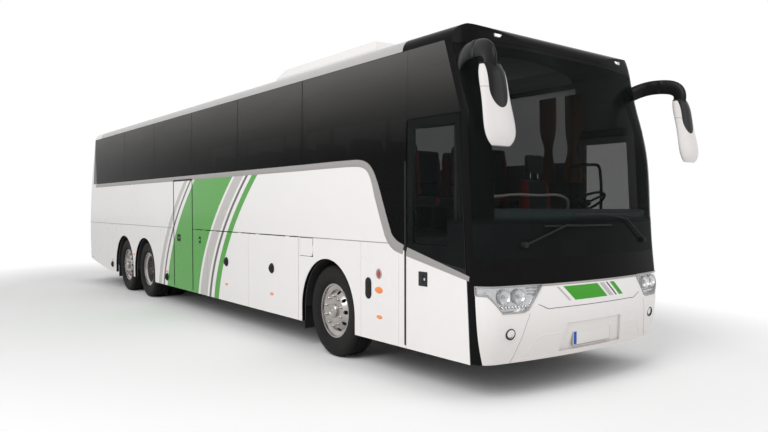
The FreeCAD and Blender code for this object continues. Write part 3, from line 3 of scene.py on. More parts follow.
import bmesh
import bpy
from mathutils import Matrix, Vector


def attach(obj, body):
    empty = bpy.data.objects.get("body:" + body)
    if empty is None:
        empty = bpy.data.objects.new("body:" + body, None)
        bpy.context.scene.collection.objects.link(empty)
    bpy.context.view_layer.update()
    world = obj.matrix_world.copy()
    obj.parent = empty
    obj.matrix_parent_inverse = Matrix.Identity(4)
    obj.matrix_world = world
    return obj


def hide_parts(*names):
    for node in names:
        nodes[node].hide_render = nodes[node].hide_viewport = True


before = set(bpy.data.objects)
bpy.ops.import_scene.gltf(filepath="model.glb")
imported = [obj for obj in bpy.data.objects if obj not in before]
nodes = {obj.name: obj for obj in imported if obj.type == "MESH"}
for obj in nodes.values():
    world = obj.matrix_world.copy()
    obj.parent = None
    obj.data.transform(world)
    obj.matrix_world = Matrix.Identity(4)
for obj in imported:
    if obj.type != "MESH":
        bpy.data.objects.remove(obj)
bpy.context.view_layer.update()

# places that several pieces share, in metres
coach = {
    "half": 1.275,
    "belt": 2.178,
    "cant": 3.170,
    "leanStart": 2.150,
    "lean": 0.020,
    "doorX": 5.651,
    "paneJoints": [-4.072, -2.141, -0.228, 1.601, 3.515],
    "axles": {"front": 4.145, "drive": -2.755, "tag": -4.105},
    "axleHeight": 0.515,
}
hands = (("right", -1), ("left", 1))


def operation(kind, swapped=False):
    def work(wire, other=0):
        pair = (other, wire) if swapped else (wire, other)
        return wire.paint.maths(kind, *pair)
    return work


class Wire:
    # one socket, wrapped so that shader maths reads as plain sums
    __add__ = __radd__ = operation("ADD")
    __sub__ = operation("SUBTRACT")
    __rsub__ = operation("SUBTRACT", True)
    __mul__ = __rmul__ = operation("MULTIPLY")
    __truediv__ = operation("DIVIDE")
    __abs__ = operation("ABSOLUTE")

    def __init__(self, paint, socket):
        self.paint = paint
        self.socket = socket


class Paint:
    # a material and the few ways in which this script wires one
    def __init__(self, name, home=None):
        self.material = home or bpy.data.materials.new(name)
        self.material.use_nodes = True
        self.tree = self.material.node_tree
        self.tree.nodes.clear()
        spot = self.node("ShaderNodeTexCoord", {}, {}, "Object")
        self.spot = spot
        split = self.node("ShaderNodeSeparateXYZ", {}, {"Vector": spot})
        self.x, self.y, self.z = [Wire(self, split.outputs[axis]) for axis in "XYZ"]

    def node(self, kind, settings, sockets, result=None):
        made = self.tree.nodes.new(kind)
        for field, value in settings.items():
            setattr(made, field, value)
        for name, value in sockets.items():
            socket = made.inputs[name]
            if isinstance(value, Wire):
                self.tree.links.new(value.socket, socket)
            elif isinstance(value, tuple) and len(socket.default_value) == 4:
                socket.default_value = (*value, 1)
            else:
                socket.default_value = value
        return made if result is None else Wire(self, made.outputs[result])

    def maths(self, operation, a, b, clamp=False):
        return self.node("ShaderNodeMath", {"operation": operation, "use_clamp": clamp}, {0: a, 1: b}, 0)

    def clamp(self, value):
        return self.maths("ADD", value, 0.0, True)

    def above(self, value, edge, soft=0.002):
        return self.clamp((value - edge) / soft + 0.5)

    def within(self, value, low, high, soft=0.002):
        return self.above(value, low, soft) * (1 - self.above(value, high, soft))

    def blend(self, factor, a, b):
        return self.node("ShaderNodeMix", {"data_type": "RGBA"}, {0: factor, 6: a, 7: b}, 2)

    def noise(self, scale, detail=3.0, stretch=(1, 1, 1)):
        spot = self.node("ShaderNodeMapping", {}, {"Vector": self.spot, "Scale": stretch}, 0)
        return self.node("ShaderNodeTexNoise", {}, {"Vector": spot, "Scale": scale, "Detail": detail}, 0)

    def wave(self, way, scale):
        sockets = {"Vector": self.spot, "Scale": scale}
        return self.node("ShaderNodeTexWave", {"bands_direction": way}, sockets, 1)

    def bump(self, height, distance):
        sockets = {"Height": height, "Distance": distance, "Strength": 1.0}
        return self.node("ShaderNodeBump", {}, sockets, 0)

    def surface(self, color, rough, relief=None, depth=0, backdrop=None, **sockets):
        sockets.update(color=color, roughness=rough)
        if relief is not None:
            sockets["normal"] = self.bump(relief, depth)
        named = {"Base Color": "color", "Coat Weight": "coat", "Coat Roughness": "coatRough",
                 "Specular IOR Level": "specular", "Emission Color": "glow", "Emission Strength": "glowPower",
                 "Sheen Weight": "sheen"}
        for field in ("Roughness", "Metallic", "Alpha", "Normal", "IOR"):
            named[field] = field.lower()
        given = {field: sockets[word] for field, word in named.items() if word in sockets}
        shader = self.node("ShaderNodeBsdfPrincipled", {}, given, 0)
        if backdrop is not None:
            white = self.node("ShaderNodeEmission", {}, {"Color": (1, 1, 1)}, 0)
            shader = self.node("ShaderNodeMixShader", {}, {0: backdrop, 1: shader, 2: white}, 0)
        self.node("ShaderNodeOutputMaterial", {}, {"Surface": shader})
        return self.material


# finishes

liveryLook = {
    "white": (0.815, 0.795, 0.785),
    "whiteWorn": (0.735, 0.712, 0.695),
    "whiteShaded": (0.60, 0.56, 0.54),
    "black": (0.006, 0.006, 0.0065),
    "inside": (0.13, 0.125, 0.12),
    "green": (0.045, 0.315, 0.016),
    "paleGrey": (0.49, 0.47, 0.45),
    "darkGrey": (0.085, 0.075, 0.078),
    "skinFrom": 1.262,
    "sideTop": 2.112,
    "sideCurve": 0.32,
    "sideBands": [("paleGrey", -1.95, -1.79), ("darkGrey", -1.69, -1.62), ("green", -1.48, 0.02),
                  ("paleGrey", 0.10, 0.40), ("darkGrey", 0.48, 0.56), ("green", 0.68, 0.86)],
    "seamHeight": (1.3258, 1.3342),
    "seamReach": (-0.17, 4.18),
    "seamShade": (0.05, 0.046, 0.045),
    "doorFrom": 5.646,
    "doorLine": (5.657, 1.2575),
    "doorFall": 0.2077,
    "skinDepth": 0.0055,
    "wallDepth": 0.044,
    "noseSlant": 1.1,
    "noseShift": 0.99,
    "noseLow": 0.842,
    "noseHigh": 0.975,
    "noseBands": [("paleGrey", -0.44, -0.41), ("green", -0.36, 0.10), ("paleGrey", 0.13, 0.20),
                  ("darkGrey", 0.23, 0.255), ("green", 0.29, 0.36)],
}


def coachPaint(name, sides, front=False):
    # white, a little grimy low down, with a painted shade on the lower nose; the sides carry the coloured
    # bands and are black above the belt
    paint = Paint(name)
    look = liveryLook
    cloud = paint.noise(1.3)
    grime = paint.noise(7.0, 5.0) * (1 - paint.above(paint.z, 0.52, 0.5))
    shade = paint.blend(cloud * 0.35 + grime * 0.16, look["white"], look["whiteWorn"])
    rough = 0.22 + cloud * 0.08
    gloss = 0.2
    if sides:
        skin = paint.above(abs(paint.y), look["skinFrom"], 0.004)
        across = paint.x - paint.z * paint.z * look["sideCurve"]
        outside = skin * (1 - paint.above(paint.z, look["sideTop"], 0.004))
        for band, low, high in look["sideBands"]:
            shade = paint.blend(paint.within(across, low, high, 0.004) * outside, shade, look[band])
        seam = skin * paint.within(paint.z, *look["seamHeight"], 0.001)
        shade = paint.blend(seam * paint.within(paint.x, *look["seamReach"]) * 0.8, shade, look["seamShade"])
        start, height = look["doorLine"]
        ahead = paint.above(paint.x, look["doorFrom"], 0.004)
        ahead = ahead * paint.above(paint.z + (paint.x - start) * look["doorFall"], height)
        rise = paint.clamp((paint.z - coach["leanStart"]) / (coach["cant"] - coach["leanStart"]))
        depth = coach["half"] - rise * coach["lean"] - abs(paint.y)
        # black above the belt and ahead of the door line; deeper than the outer skin it is black too, partly
        # the black behind the glass and partly a painted shade in the gaps round doors and flaps
        dark = ahead + paint.above(paint.z, coach["belt"] + 0.004)
        dark = paint.clamp(dark + paint.above(depth, look["skinDepth"], 0.001))
        shade = paint.blend(dark, shade, look["black"])
        gloss = 0.2 - dark * 0.2
        inside = paint.above(depth, look["wallDepth"], 0.003)
        shade = paint.blend(inside, shade, look["inside"])
        rough = rough + inside * 0.5
    if front:
        # painted shade: the lower front of the nose darkens towards the ground, where it turns under
        lowShade = 1 - paint.clamp((paint.z - 0.36) / 0.5)
        shade = paint.blend(lowShade * paint.above(paint.x, 6.3, 0.6) * 0.6, shade, look["whiteShaded"])
        across = paint.y + paint.z * look["noseSlant"] - look["noseShift"]
        outside = paint.within(paint.z, look["noseLow"], look["noseHigh"]) * paint.above(paint.x, 6.8)
        for band, low, high in look["noseBands"]:
            shade = paint.blend(paint.within(across, low, high) * outside, shade, look[band])
    peel = paint.noise(170.0, 1.0)
    return paint.surface(shade, rough, peel, 0.00012, coat=gloss, coatRough=0.06, specular=0.2)


def blackGloss():
    paint = Paint("blackGloss")
    dust = paint.noise(16.0, 6.0)
    shade = paint.blend(dust * 0.4, liveryLook["black"], (0.013, 0.0125, 0.0125))
    peel = paint.noise(120.0, 1.0)
    return paint.surface(shade, 0.12 + dust * 0.14, peel, 0.0001, ior=1.09)


def tintedGlass():
    # dark bonded panes with a painted sky reflection, paler towards the top
    paint = Paint("tintedGlass")
    rise = paint.clamp((paint.z - 2.15) / 1.0)
    smear = paint.noise(0.8, 4.0, (0.5, 1, 2.5))
    # painted reflection: the base colour pales towards the top, where the sky would show in the glass
    shade = paint.blend(rise * rise * (0.65 + smear * 0.5), (0.006, 0.0062, 0.0062), (0.128, 0.125, 0.120))
    driver = paint.above(paint.y, 1.2) * paint.above(paint.x, 5.656) * (1 - paint.above(paint.z, 2.506))
    for joint in coach["paneJoints"]:
        shade = paint.blend(paint.within(paint.x, joint - 0.007, joint + 0.007), shade, (0.004, 0.004, 0.004))
    cover = 0.82 - paint.above(paint.y, 1.2) * 0.14 - driver * 0.15
    return paint.surface(shade, 0.07 + smear * 0.06, alpha=cover, ior=1.06)


def clearGlass():
    # windscreen and door window: clear in the middle, dark printed edge below, sun band at the top
    paint = Paint("clearGlass")
    edge = (1 - paint.above(paint.z, 1.55, 0.10)) * paint.above(paint.x, 6.28, 0.02)
    edge = edge + 1 - paint.above(paint.z, 1.335, 0.03)
    band = paint.above(paint.z, 2.86, 0.34)
    smear = paint.noise(3.0, 5.0)
    cover = paint.clamp(edge + band * 0.4 + 0.30 + smear * 0.06)
    shade = paint.blend(smear, (0.006, 0.0075, 0.0075), (0.012, 0.014, 0.0135))
    return paint.surface(shade, 0.04 + smear * 0.05, alpha=cover, ior=1.06)


def rubber(name="blackRubber", shade=(0.012, 0.012, 0.012), scale=60.0):
    paint = Paint(name)
    grain = paint.noise(scale, 6.0)
    worn = paint.noise(4.0, 3.0)
    color = paint.blend(worn * 0.8, shade, tuple(part * 1.7 for part in shade))
    return paint.surface(color, 0.62 + grain * 0.25, grain, 0.0006, specular=0.18)


def alloy():
    # polished forged rim: fine turning marks round the axle and brake dust in soft patches
    paint = Paint("polishedAlloy")
    marks = paint.noise(90.0, 4.0, (1, 0.12, 1))
    dust = paint.noise(9.0, 5.0)
    shade = paint.blend(dust * 0.6, (0.52, 0.49, 0.47), (0.15, 0.13, 0.12))
    return paint.surface(shade, 0.13 + marks * 0.14 + dust * 0.1, marks, 0.0003, metallic=0.92)


def metal(name, shade, rough, metallic=1.0):
    paint = Paint(name)
    marks = paint.noise(40.0, 5.0)
    color = paint.blend(marks * 0.5, shade, tuple(part * 0.72 for part in shade))
    return paint.surface(color, rough + marks * 0.14, marks, 0.0003, metallic=metallic)


def plastic(name, shade, rough=0.5, scale=220.0):
    paint = Paint(name)
    grain = paint.noise(scale, 2.0)
    cloud = paint.noise(2.5, 3.0)
    color = paint.blend(cloud * 0.7, shade, tuple(part * 1.35 for part in shade))
    return paint.surface(color, rough + grain * 0.15, grain, 0.0004, specular=0.22)


def lens(name, shade, glow=0.0):
    # moulded lamp lens with fine upright ribs
    paint = Paint(name)
    ribs = paint.wave("Z", 30.0)
    color = paint.blend(ribs * 0.5, shade, tuple(min(1.0, part * 1.6) for part in shade))
    return paint.surface(color, 0.1 + ribs * 0.08, ribs, 0.0006, coat=0.8, coatRough=0.03, glow=shade,
                         glowPower=glow)


def lampGlass():
    # clear moulded lamp cover with a few soft flutes
    paint = Paint("lampGlass")
    flutes = paint.wave("Y", 9.0)
    cover = 0.16 + flutes * 0.05
    return paint.surface((0.80, 0.82, 0.84), 0.05 + flutes * 0.03, flutes, 0.0006, alpha=cover)


mirrorLook = {
    "tongueMiddle": 1.36,
    "tongueHalf": 0.098,
    "tongueTop": 2.62,
    "tongueRound": 0.15,
    "armFrom": 2.815,
    "joint": (2.628, 2.632),
}


def mirrorPaint():
    # gloss black arm, white shell with a black tongue down its front and a fine joint line; the shell's white
    # is darker than the body's, a painted shade
    paint = Paint("mirrorShell")
    look = mirrorLook
    side = (abs(paint.y) - look["tongueMiddle"]) / look["tongueHalf"]
    arm = paint.above(paint.z, look["armFrom"], 0.004)
    rounding = paint.maths("MAXIMUM", (look["tongueTop"] - paint.z) / look["tongueRound"], 0.0)
    tongue = paint.above(1 - side * side - rounding * rounding, 0, 0.03)
    tongue = tongue * paint.above(paint.x + paint.z * 0.233, 7.604, 0.004)
    joint = paint.within(paint.z, *look["joint"], 0.001) * 0.75
    peel = paint.noise(170.0, 1.0)
    # painted shade: the shell's white is set darker than the coach's white
    white = paint.blend(joint, paint.blend(peel, (0.72, 0.695, 0.685), (0.68, 0.655, 0.645)), (0.1, 0.1, 0.1))
    shade = paint.blend(paint.clamp(arm + tongue), white, (0.012, 0.012, 0.013))
    return paint.surface(shade, 0.22 + peel * 0.05, peel, 0.0001, ior=1.2)


def roofPaint():
    # grey along both edges where the roof turns down, a painted shade, and a white panel between them
    paint = Paint("roofPaint")
    cloud = paint.noise(2.2)
    # painted shade: the outer strips of the roof are grey
    edgeShade = paint.above(abs(paint.y), 0.93, 0.004)
    shade = paint.blend(edgeShade, liveryLook["white"], (0.40, 0.385, 0.38))
    shade = paint.blend(cloud * 0.2, shade, (0.3, 0.29, 0.28))
    peel = paint.noise(150.0, 1.0)
    return paint.surface(shade, 0.3 + cloud * 0.1, peel, 0.0001, coat=0.4, coatRough=0.1)


whitePaint = coachPaint("coachPaint", True)
nosePaint = coachPaint("nosePaint", False, True)
tailPaint = coachPaint("tailPaint", False)
glossBlack = blackGloss()
darkGlass = tintedGlass()
screenGlass = clearGlass()
sealRubber = rubber()
tyreRubber = rubber("tyreRubber", (0.0085, 0.0078, 0.0076), 110.0)
rimAlloy = alloy()
chrome = metal("chrome", (0.78, 0.78, 0.79), 0.08)
trimSilver = metal("trimSilver", (0.36, 0.345, 0.335), 0.34, 0.35)
reflector = metal("reflector", (0.62, 0.63, 0.64), 0.16, 0.8)
darkSteel = metal("darkSteel", (0.05, 0.05, 0.052), 0.45, 0.4)
castIron = metal("castIron", (0.13, 0.125, 0.12), 0.55, 0.5)
dashTrim = plastic("dashTrim", (0.060, 0.080, 0.082), 0.5)
darkTrim = plastic("darkTrim", (0.018, 0.018, 0.019), 0.55)
seamGrey = plastic("seamGrey", (0.26, 0.25, 0.245), 0.5)
plateBlue = plastic("plateBlue", (0.012, 0.075, 0.36), 0.35)
floorCover = plastic("floorCover", (0.07, 0.07, 0.075), 0.7, 90.0)
amberLens = lens("amberLens", (0.72, 0.17, 0.004), 0.06)
redLens = lens("redLens", (0.30, 0.006, 0.012), 0.03)
print("finishes ready")

# first match wins, so a longer name comes before the shorter one that it starts with
nodeFinish = [
    (screenGlass, ("windscreen", "front_door_glass")),
    (darkGlass, ("side_glass_", "rear_window")),
    (darkSteel, ("front_door_arm", "mid_door_arm", "underframe")),
    (whitePaint, ("body_side_", "front_door", "mid_door", "fuel_flap", "flap_")),
    (nosePaint, ("front_bumper",)),
    (tailPaint, ("rear_body", "engine_lid", "roof_unit")),
    (roofPaint(), ("roof",)),
    (glossBlack, ("front_cap", "front_frame")),
    (lampGlass(), ("headlamps",)),
    (redLens, ("tail_lamps",)),
    (sealRubber, ("wipers", "mud_flaps")),
    (floorCover, ("deck", "front_floor")),
    (darkTrim, ("wheel_housings", "steering_wheel", "passenger_seats", "driver_seat")),
    (dashTrim, ("dashboard",)),
    (castIron, ("engine", "front_axle", "knuckle_", "rear_axles")),
    (mirrorPaint(), ("mirror_",)),
    (tyreRubber, ("tyre_",)),
    (rimAlloy, ("rim_",)),
]
for name, thing in nodes.items():
    thing.data.materials.clear()
    thing.data.materials.append(next(paint for paint, starts in nodeFinish if name.startswith(starts)))
print("CAD pieces painted")


# ways of making and finishing a piece

def meshOf(name, shape):
    mesh = bpy.data.meshes.new(name)
    shape.to_mesh(mesh)
    shape.free()
    return mesh


def placed(name, data):
    thing = bpy.data.objects.new(name, data)
    bpy.context.scene.collection.objects.link(thing)
    return thing


def finishPiece(name, shape, slotName, *paints, body="coach", smooth=35):
    bmesh.ops.remove_doubles(shape, verts=shape.verts, dist=0.00002)
    bmesh.ops.recalc_face_normals(shape, faces=shape.faces)
    mesh = meshOf(name, shape)
    for paint in paints:
        mesh.materials.append(paint)
    mesh.shade_smooth()
    mesh.set_sharp_from_angle(angle=math.radians(smooth))
    piece = placed(name, mesh)
    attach(piece, body)
    return piece


def paintNew(shape, before, paint):
    for face in set(shape.faces) - before:
        face.material_index = paint


def softBox(shape, low, high, corner=0.004, paint=0, segments=2):
    # box between two corners with rounded edges
    before = set(shape.faces)
    low = Vector(low)
    high = Vector(high)
    place = Matrix.Translation((low + high) / 2) @ Matrix.Diagonal((*(high - low), 1))
    made = bmesh.ops.create_cube(shape, size=1, matrix=place)
    edges = {edge for spot in made["verts"] for edge in spot.link_edges}
    bmesh.ops.bevel(shape, geom=list(edges), offset=corner, segments=segments, profile=0.5,
                    affect="EDGES", material=-1)
    paintNew(shape, before, paint)


def block(shape, centre, size, corner, paint=0):
    # rounded box round a centre
    half = Vector(size) / 2
    softBox(shape, Vector(centre) - half, Vector(centre) + half, corner, paint)


def lathe(shape, profile, centre, axis, steps=32, paint=0):
    # profile points are (distance along the axis, radius)
    before = set(shape.faces)
    turn = Vector((0, 0, 1)).rotation_difference(Vector(axis)).to_matrix().to_4x4()
    place = Matrix.Translation(centre) @ turn
    spots = [shape.verts.new(place @ Vector((radius, 0, along))) for along, radius in profile]
    edges = [shape.edges.new(pair) for pair in zip(spots, spots[1:])]
    bmesh.ops.spin(shape, geom=spots + edges, cent=centre, axis=axis, angle=math.tau, steps=steps,
                   use_merge=True)
    paintNew(shape, before, paint)


def pebble(shape, centre, size, flat, paint=0):
    # low lens or button: an oval dome that stands out along Y
    before = set(shape.faces)
    made = bmesh.ops.create_uvsphere(shape, u_segments=24, v_segments=12, radius=0.5)
    place = Matrix.Translation(centre) @ Matrix.Diagonal((size[0], flat * 2, size[1], 1))
    bmesh.ops.transform(shape, matrix=place, verts=made["verts"])
    paintNew(shape, before, paint)


def sweep(name, points, radius, closed=False, handles="AUTO", taper=None):
    # round bar along a smooth line through points; taper scales its radius at each of them
    line = bpy.data.curves.new(name, "CURVE")
    line.dimensions = "3D"
    line.resolution_u = 8 if handles == "AUTO" else 1
    spline = line.splines.new("BEZIER")
    spline.bezier_points.add(len(points) - 1)
    for knot, point in zip(spline.bezier_points, points):
        knot.co = point
        knot.handle_left_type = handles
        knot.handle_right_type = handles
    for knot, size in zip(spline.bezier_points, taper or []):
        knot.radius = size
    spline.use_cyclic_u = closed
    line.bevel_depth = radius
    line.bevel_resolution = 3
    line.use_fill_caps = True
    holder = bpy.data.objects.new(name, line)
    mesh = bpy.data.meshes.new_from_object(holder)
    shape = bmesh.new()
    shape.from_mesh(mesh)
    bpy.data.objects.remove(holder)
    bpy.data.curves.remove(line)
    bpy.data.meshes.remove(mesh)
    return shape


def move(shape, way):
    bmesh.ops.translate(shape, verts=shape.verts, vec=way)


def absorb(shape, other):
    # moves another bmesh into shape
    mesh = meshOf("passing", other)
    shape.from_mesh(mesh)
    bpy.data.meshes.remove(mesh)


def wallStrip(shape, points, width, thick, side, taper=None):
    # half-oval moulding on a side wall, through places along and up
    strip = sweep("strip", [(x, 0, z) for x, z in points], width / 2, taper=taper)
    bmesh.ops.scale(strip, verts=strip.verts, vec=(1, thick / width, 1))
    for spot in strip.verts:
        spot.co.y += side * sideY(spot.co.z)
    absorb(shape, strip)


def noseHit(y, z):
    # place and direction of the nose's outer face, seen from the front
    best = None
    for name in ("front_frame", "front_bumper", "windscreen", "headlamps", "front_cap"):
        hit, spot, normal, face = nodes[name].ray_cast(Vector((9, y, z)), Vector((-1, 0, 0)))
        if hit and (best is None or spot.x > best[0].x):
            best = (spot, normal)
    return best


def frontX(y, z):
    return noseHit(y, z)[0].x


def sideY(z):
    # half width of the body at a height
    rise = min(max((z - coach["leanStart"]) / (coach["cant"] - coach["leanStart"]), 0), 1)
    return coach["half"] - coach["lean"] * rise


# wheels

tyreLook = {
    "steps": 96,
    "blockLift": 0.0035,
    "blockGap": 0.0022,
    "twinPitch": 0.335,
    "middle": 1.0775,
    "wall": [(0.104, 0.3003), (0.121, 0.3215), (0.1345, 0.342), (0.1362, 0.3445), (0.1435, 0.372),
             (0.147, 0.405), (0.1475, 0.425), (0.1455, 0.448), (0.1462, 0.452), (0.1405, 0.475),
             (0.133, 0.494), (0.122, 0.505)],
    "crown": [(0.113, 0.5088), (0.073, 0.5108), (0.070, 0.500), (0.062, 0.500), (0.059, 0.5112),
              (0.031, 0.5114), (0.028, 0.500), (0.020, 0.500), (0.017, 0.5115)],
}


def tyreShape(shape, centre):
    look = tyreLook
    half = look["wall"] + look["crown"]
    profile = half + [(-along, radius) for along, radius in reversed(half)]
    profile.append((-0.1, 0.3003))
    profile.append(half[0])
    ring = bmesh.new()
    lathe(ring, profile, centre, (0, 1, 0), look["steps"])
    bmesh.ops.remove_doubles(ring, verts=ring.verts, dist=0.00002)
    bmesh.ops.recalc_face_normals(ring, faces=ring.faces)
    tread = []
    for face in ring.faces:
        spot = face.calc_center_median() - Vector(centre)
        if math.hypot(spot.x, spot.z) > 0.507 and abs(face.normal.y) < 0.3:
            tread.append(face)
    bmesh.ops.inset_individual(ring, faces=tread, thickness=look["blockGap"], depth=look["blockLift"],
                               use_even_offset=True)
    absorb(shape, ring)


def makeTyres():
    for place, x in coach["axles"].items():
        for hand, side in reversed(hands):
            shape = bmesh.new()
            spots = [tyreLook["middle"]]
            if place == "drive":
                spots.append(tyreLook["middle"] - tyreLook["twinPitch"])
            for y in spots:
                tyreShape(shape, (x, side * y, coach["axleHeight"]))
            wheel = "_%s_%s" % (place, hand)
            piece = finishPiece("treadTyre" + wheel, shape, "tyre_rubber", tyreRubber, body="wheel" + wheel,
                                smooth=28)
            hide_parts("tyre" + wheel)


studLook = {
    "count": 10,
    "single": {"circle": 0.1675, "face": 0.126, "nut": 0.0165, "high": 0.021, "stud": 0.010, "out": 0.030,
               "cap": 0.070, "capFace": 0.150},
    "twin": {"circle": 0.137, "face": -0.1515, "nut": 0.0155, "high": 0.021, "stud": 0.010, "out": 0.032,
             "cap": 0.098, "capFace": -0.0875},
}


def makeStuds():
    # ten wheel nuts with their studs, and an end cap on the hub
    for place, x in coach["axles"].items():
        look = studLook["twin" if place == "drive" else "single"]
        for hand, side in reversed(hands):
            shape = bmesh.new()
            axis = (0, side, 0)
            face = side * (tyreLook["middle"] + look["face"])
            for step in range(studLook["count"]):
                turn = math.tau * (step + 0.5) / studLook["count"]
                spot = Vector((x + look["circle"] * math.cos(turn), face,
                               coach["axleHeight"] + look["circle"] * math.sin(turn)))
                nut = [(0, look["nut"] + 0.003), (0.004, look["nut"] + 0.003), (0.005, look["nut"]),
                       (look["high"] - 0.003, look["nut"]), (look["high"], look["nut"] - 0.003),
                       (look["high"], look["stud"]), (look["out"], look["stud"]), (look["out"], 0.0)]
                lathe(shape, nut, spot, axis, 6)
            hub = Vector((x, side * (tyreLook["middle"] + look["capFace"]), coach["axleHeight"]))
            wide = look["cap"]
            lathe(shape, [(0.0, wide), (0.006, wide - 0.003), (0.009, wide - 0.022), (0.004, wide - 0.026),
                          (0.004, 0.022), (0.010, 0.018), (0.012, 0.0)], hub, axis, 40)
            wheel = "_%s_%s" % (place, hand)
            finishPiece("wheelNuts" + wheel, shape, "polished_alloy", rimAlloy, body="wheel" + wheel)


makeTyres()
makeStuds()
print("wheels dressed")


# silver moulding under the side windows, down in front of them and along the door

trimLook = {
    "width": 0.074,
    "wider": 0.116,
    "last": 0.098,
    "thick": 0.008,
    "rearX": -6.345,
    "drops": [0.004, 0.018, 0.045, 0.085, 0.15, 0.24, 0.34, 0.45, 0.56, 0.66, 0.73],
    "bend": [(5.470, 1.374), (5.617, 1.318)],
    "door": [(5.658, 1.2593), (5.95, 1.1987), (6.27, 1.1322), (6.578, 1.0682)],
    "doorTaper": [1.22, 1.03, 0.82, 0.62],
}


def glassEdge(z):
    # where the dark band of the right side begins at a height, found from the pane itself
    low = coach["doorX"] - 1.25
    high = coach["doorX"] - 0.02
    for step in range(18):
        middle = (low + high) / 2
        hit = nodes["side_glass_right"].ray_cast(Vector((middle, -2, z)), Vector((0, 1, 0)))[0]
        low, high = (low, middle) if hit else (middle, high)
    return high


def makeBeltTrim():
    look = trimLook
    belt = coach["belt"]
    edge = [Vector((look["rearX"] + step * 1.9, belt)) for step in range(6)]
    edge += [Vector((glassEdge(belt - drop), belt - drop)) for drop in look["drops"]]
    edge += [Vector(spot) for spot in look["bend"]]
    points = []
    taper = []
    for before, spot, after in zip(edge[:1] + edge, edge, edge[1:] + edge[-1:]):
        way = (after - before).normalized()
        fall = min(max((belt - spot.y) / 0.35, 0), 1)
        width = look["width"] + (look["wider"] - look["width"]) * fall
        if spot is edge[-1]:
            width = look["last"]
        points.append(spot + Vector((way.y, -way.x)) * (width / 2 - 0.001))
        taper.append(width / look["width"])
    long = (points, taper)
    short = (look["door"], look["doorTaper"])
    for name, body, side, runs in (("beltTrim_right", "coach", -1, [long]),
                                   ("beltTrim_left", "coach", 1, [long, short]),
                                   ("doorTrim", "front_door", -1, [short])):
        shape = bmesh.new()
        for line, sizes in runs:
            wallStrip(shape, line, look["width"], look["thick"], side, sizes)
        finishPiece(name, shape, "polished_alloy", trimSilver, body=body)


seamLook = {
    "sealWide": 0.028,
    "sealHeights": (0.36, 1.2, 2.12),
    "sealThick": 0.008,
    "gap": 0.006,
    "lineWide": 0.007,
    "lineThick": 0.003,
    "lineHeight": 1.330,
    "lines": {"right": [(-6.95, -1.09), (3.50, 5.36)], "left": [(-6.95, -1.90), (3.50, 5.36)]},
}


def makeSeams():
    # rubber seals round the two doorways and the dark joint line along the side panels
    look = seamLook
    low, middle, high = look["sealHeights"]
    off = look["gap"] + look["sealWide"] / 2
    seal = bmesh.new()
    for name in ("mid_door", "front_door"):
        corners = [Vector(corner) for corner in nodes[name].bound_box]
        rear = min(spot.x for spot in corners) - off
        front = max(spot.x for spot in corners) + off
        top = max(spot.z for spot in corners) + off
        runs = [[(rear, low), (rear, middle), (rear, min(top, high))]]
        if name == "mid_door":
            runs = [[(front, low), (front, middle), (front, top)], [(rear, top), (front, top)]] + runs
        for run in runs:
            wallStrip(seal, run, look["sealWide"], look["sealThick"], -1)
    finishPiece("doorSeals", seal, "black_rubber", sealRubber)
    for hand, side in hands:
        shape = bmesh.new()
        for start, end in look["lines"][hand]:
            z = look["lineHeight"]
            wallStrip(shape, [(start, z), (end, z)], look["lineWide"], look["lineThick"], side)
        finishPiece("sideSeam_" + hand, shape, "dark_trim", seamGrey)


makeSeams()
makeBeltTrim()


# small lamps, locks and vents on the sides

sideLook = {
    "markers": [(5.185, 0.575, "coach"), (2.692, 0.575, "front"), (1.203, 0.575, "rear"),
                (-1.465, 0.575, "coach"), (-5.001, 0.575, "coach"), (-3.422, 0.766, "coach"),
                (-6.704, 0.541, "coach")],
    "markerSize": (0.112, 0.040),
    "vent": (4.98, 0.797, 0.906),
    "ventRadius": 0.056,
    "ventSlats": [0.778 + step * 0.0245 for step in range(7)],
    "signalX": 5.174,
    "signals": [(1.012, 0, (0.108, 0.108), 0.008), (1.012, 0.004, (0.078, 0.078), 0.010),
                (0.847, 0, (0.142, 0.068), 0.016)],
    "buffers": [(-1.450, 0.478, "coach"), (-4.998, 0.475, "coach"), (1.202, 0.896, "rear"),
                (2.696, 0.902, "front")],
    "bufferWide": 0.124,
    "bufferHigh": 0.034,
    "roofMarkers": [5.314, -0.369, -6.204],
    "roofMarkerHeight": (3.185, 3.222),
}


def flapBody(hand, word):
    if word == "coach":
        return "coach"
    if hand == "left":
        return {"rear": "flap_left_mid", "front": "flap_left_front", "small": "flap_left_rear"}[word]
    return "flap_right_" + word


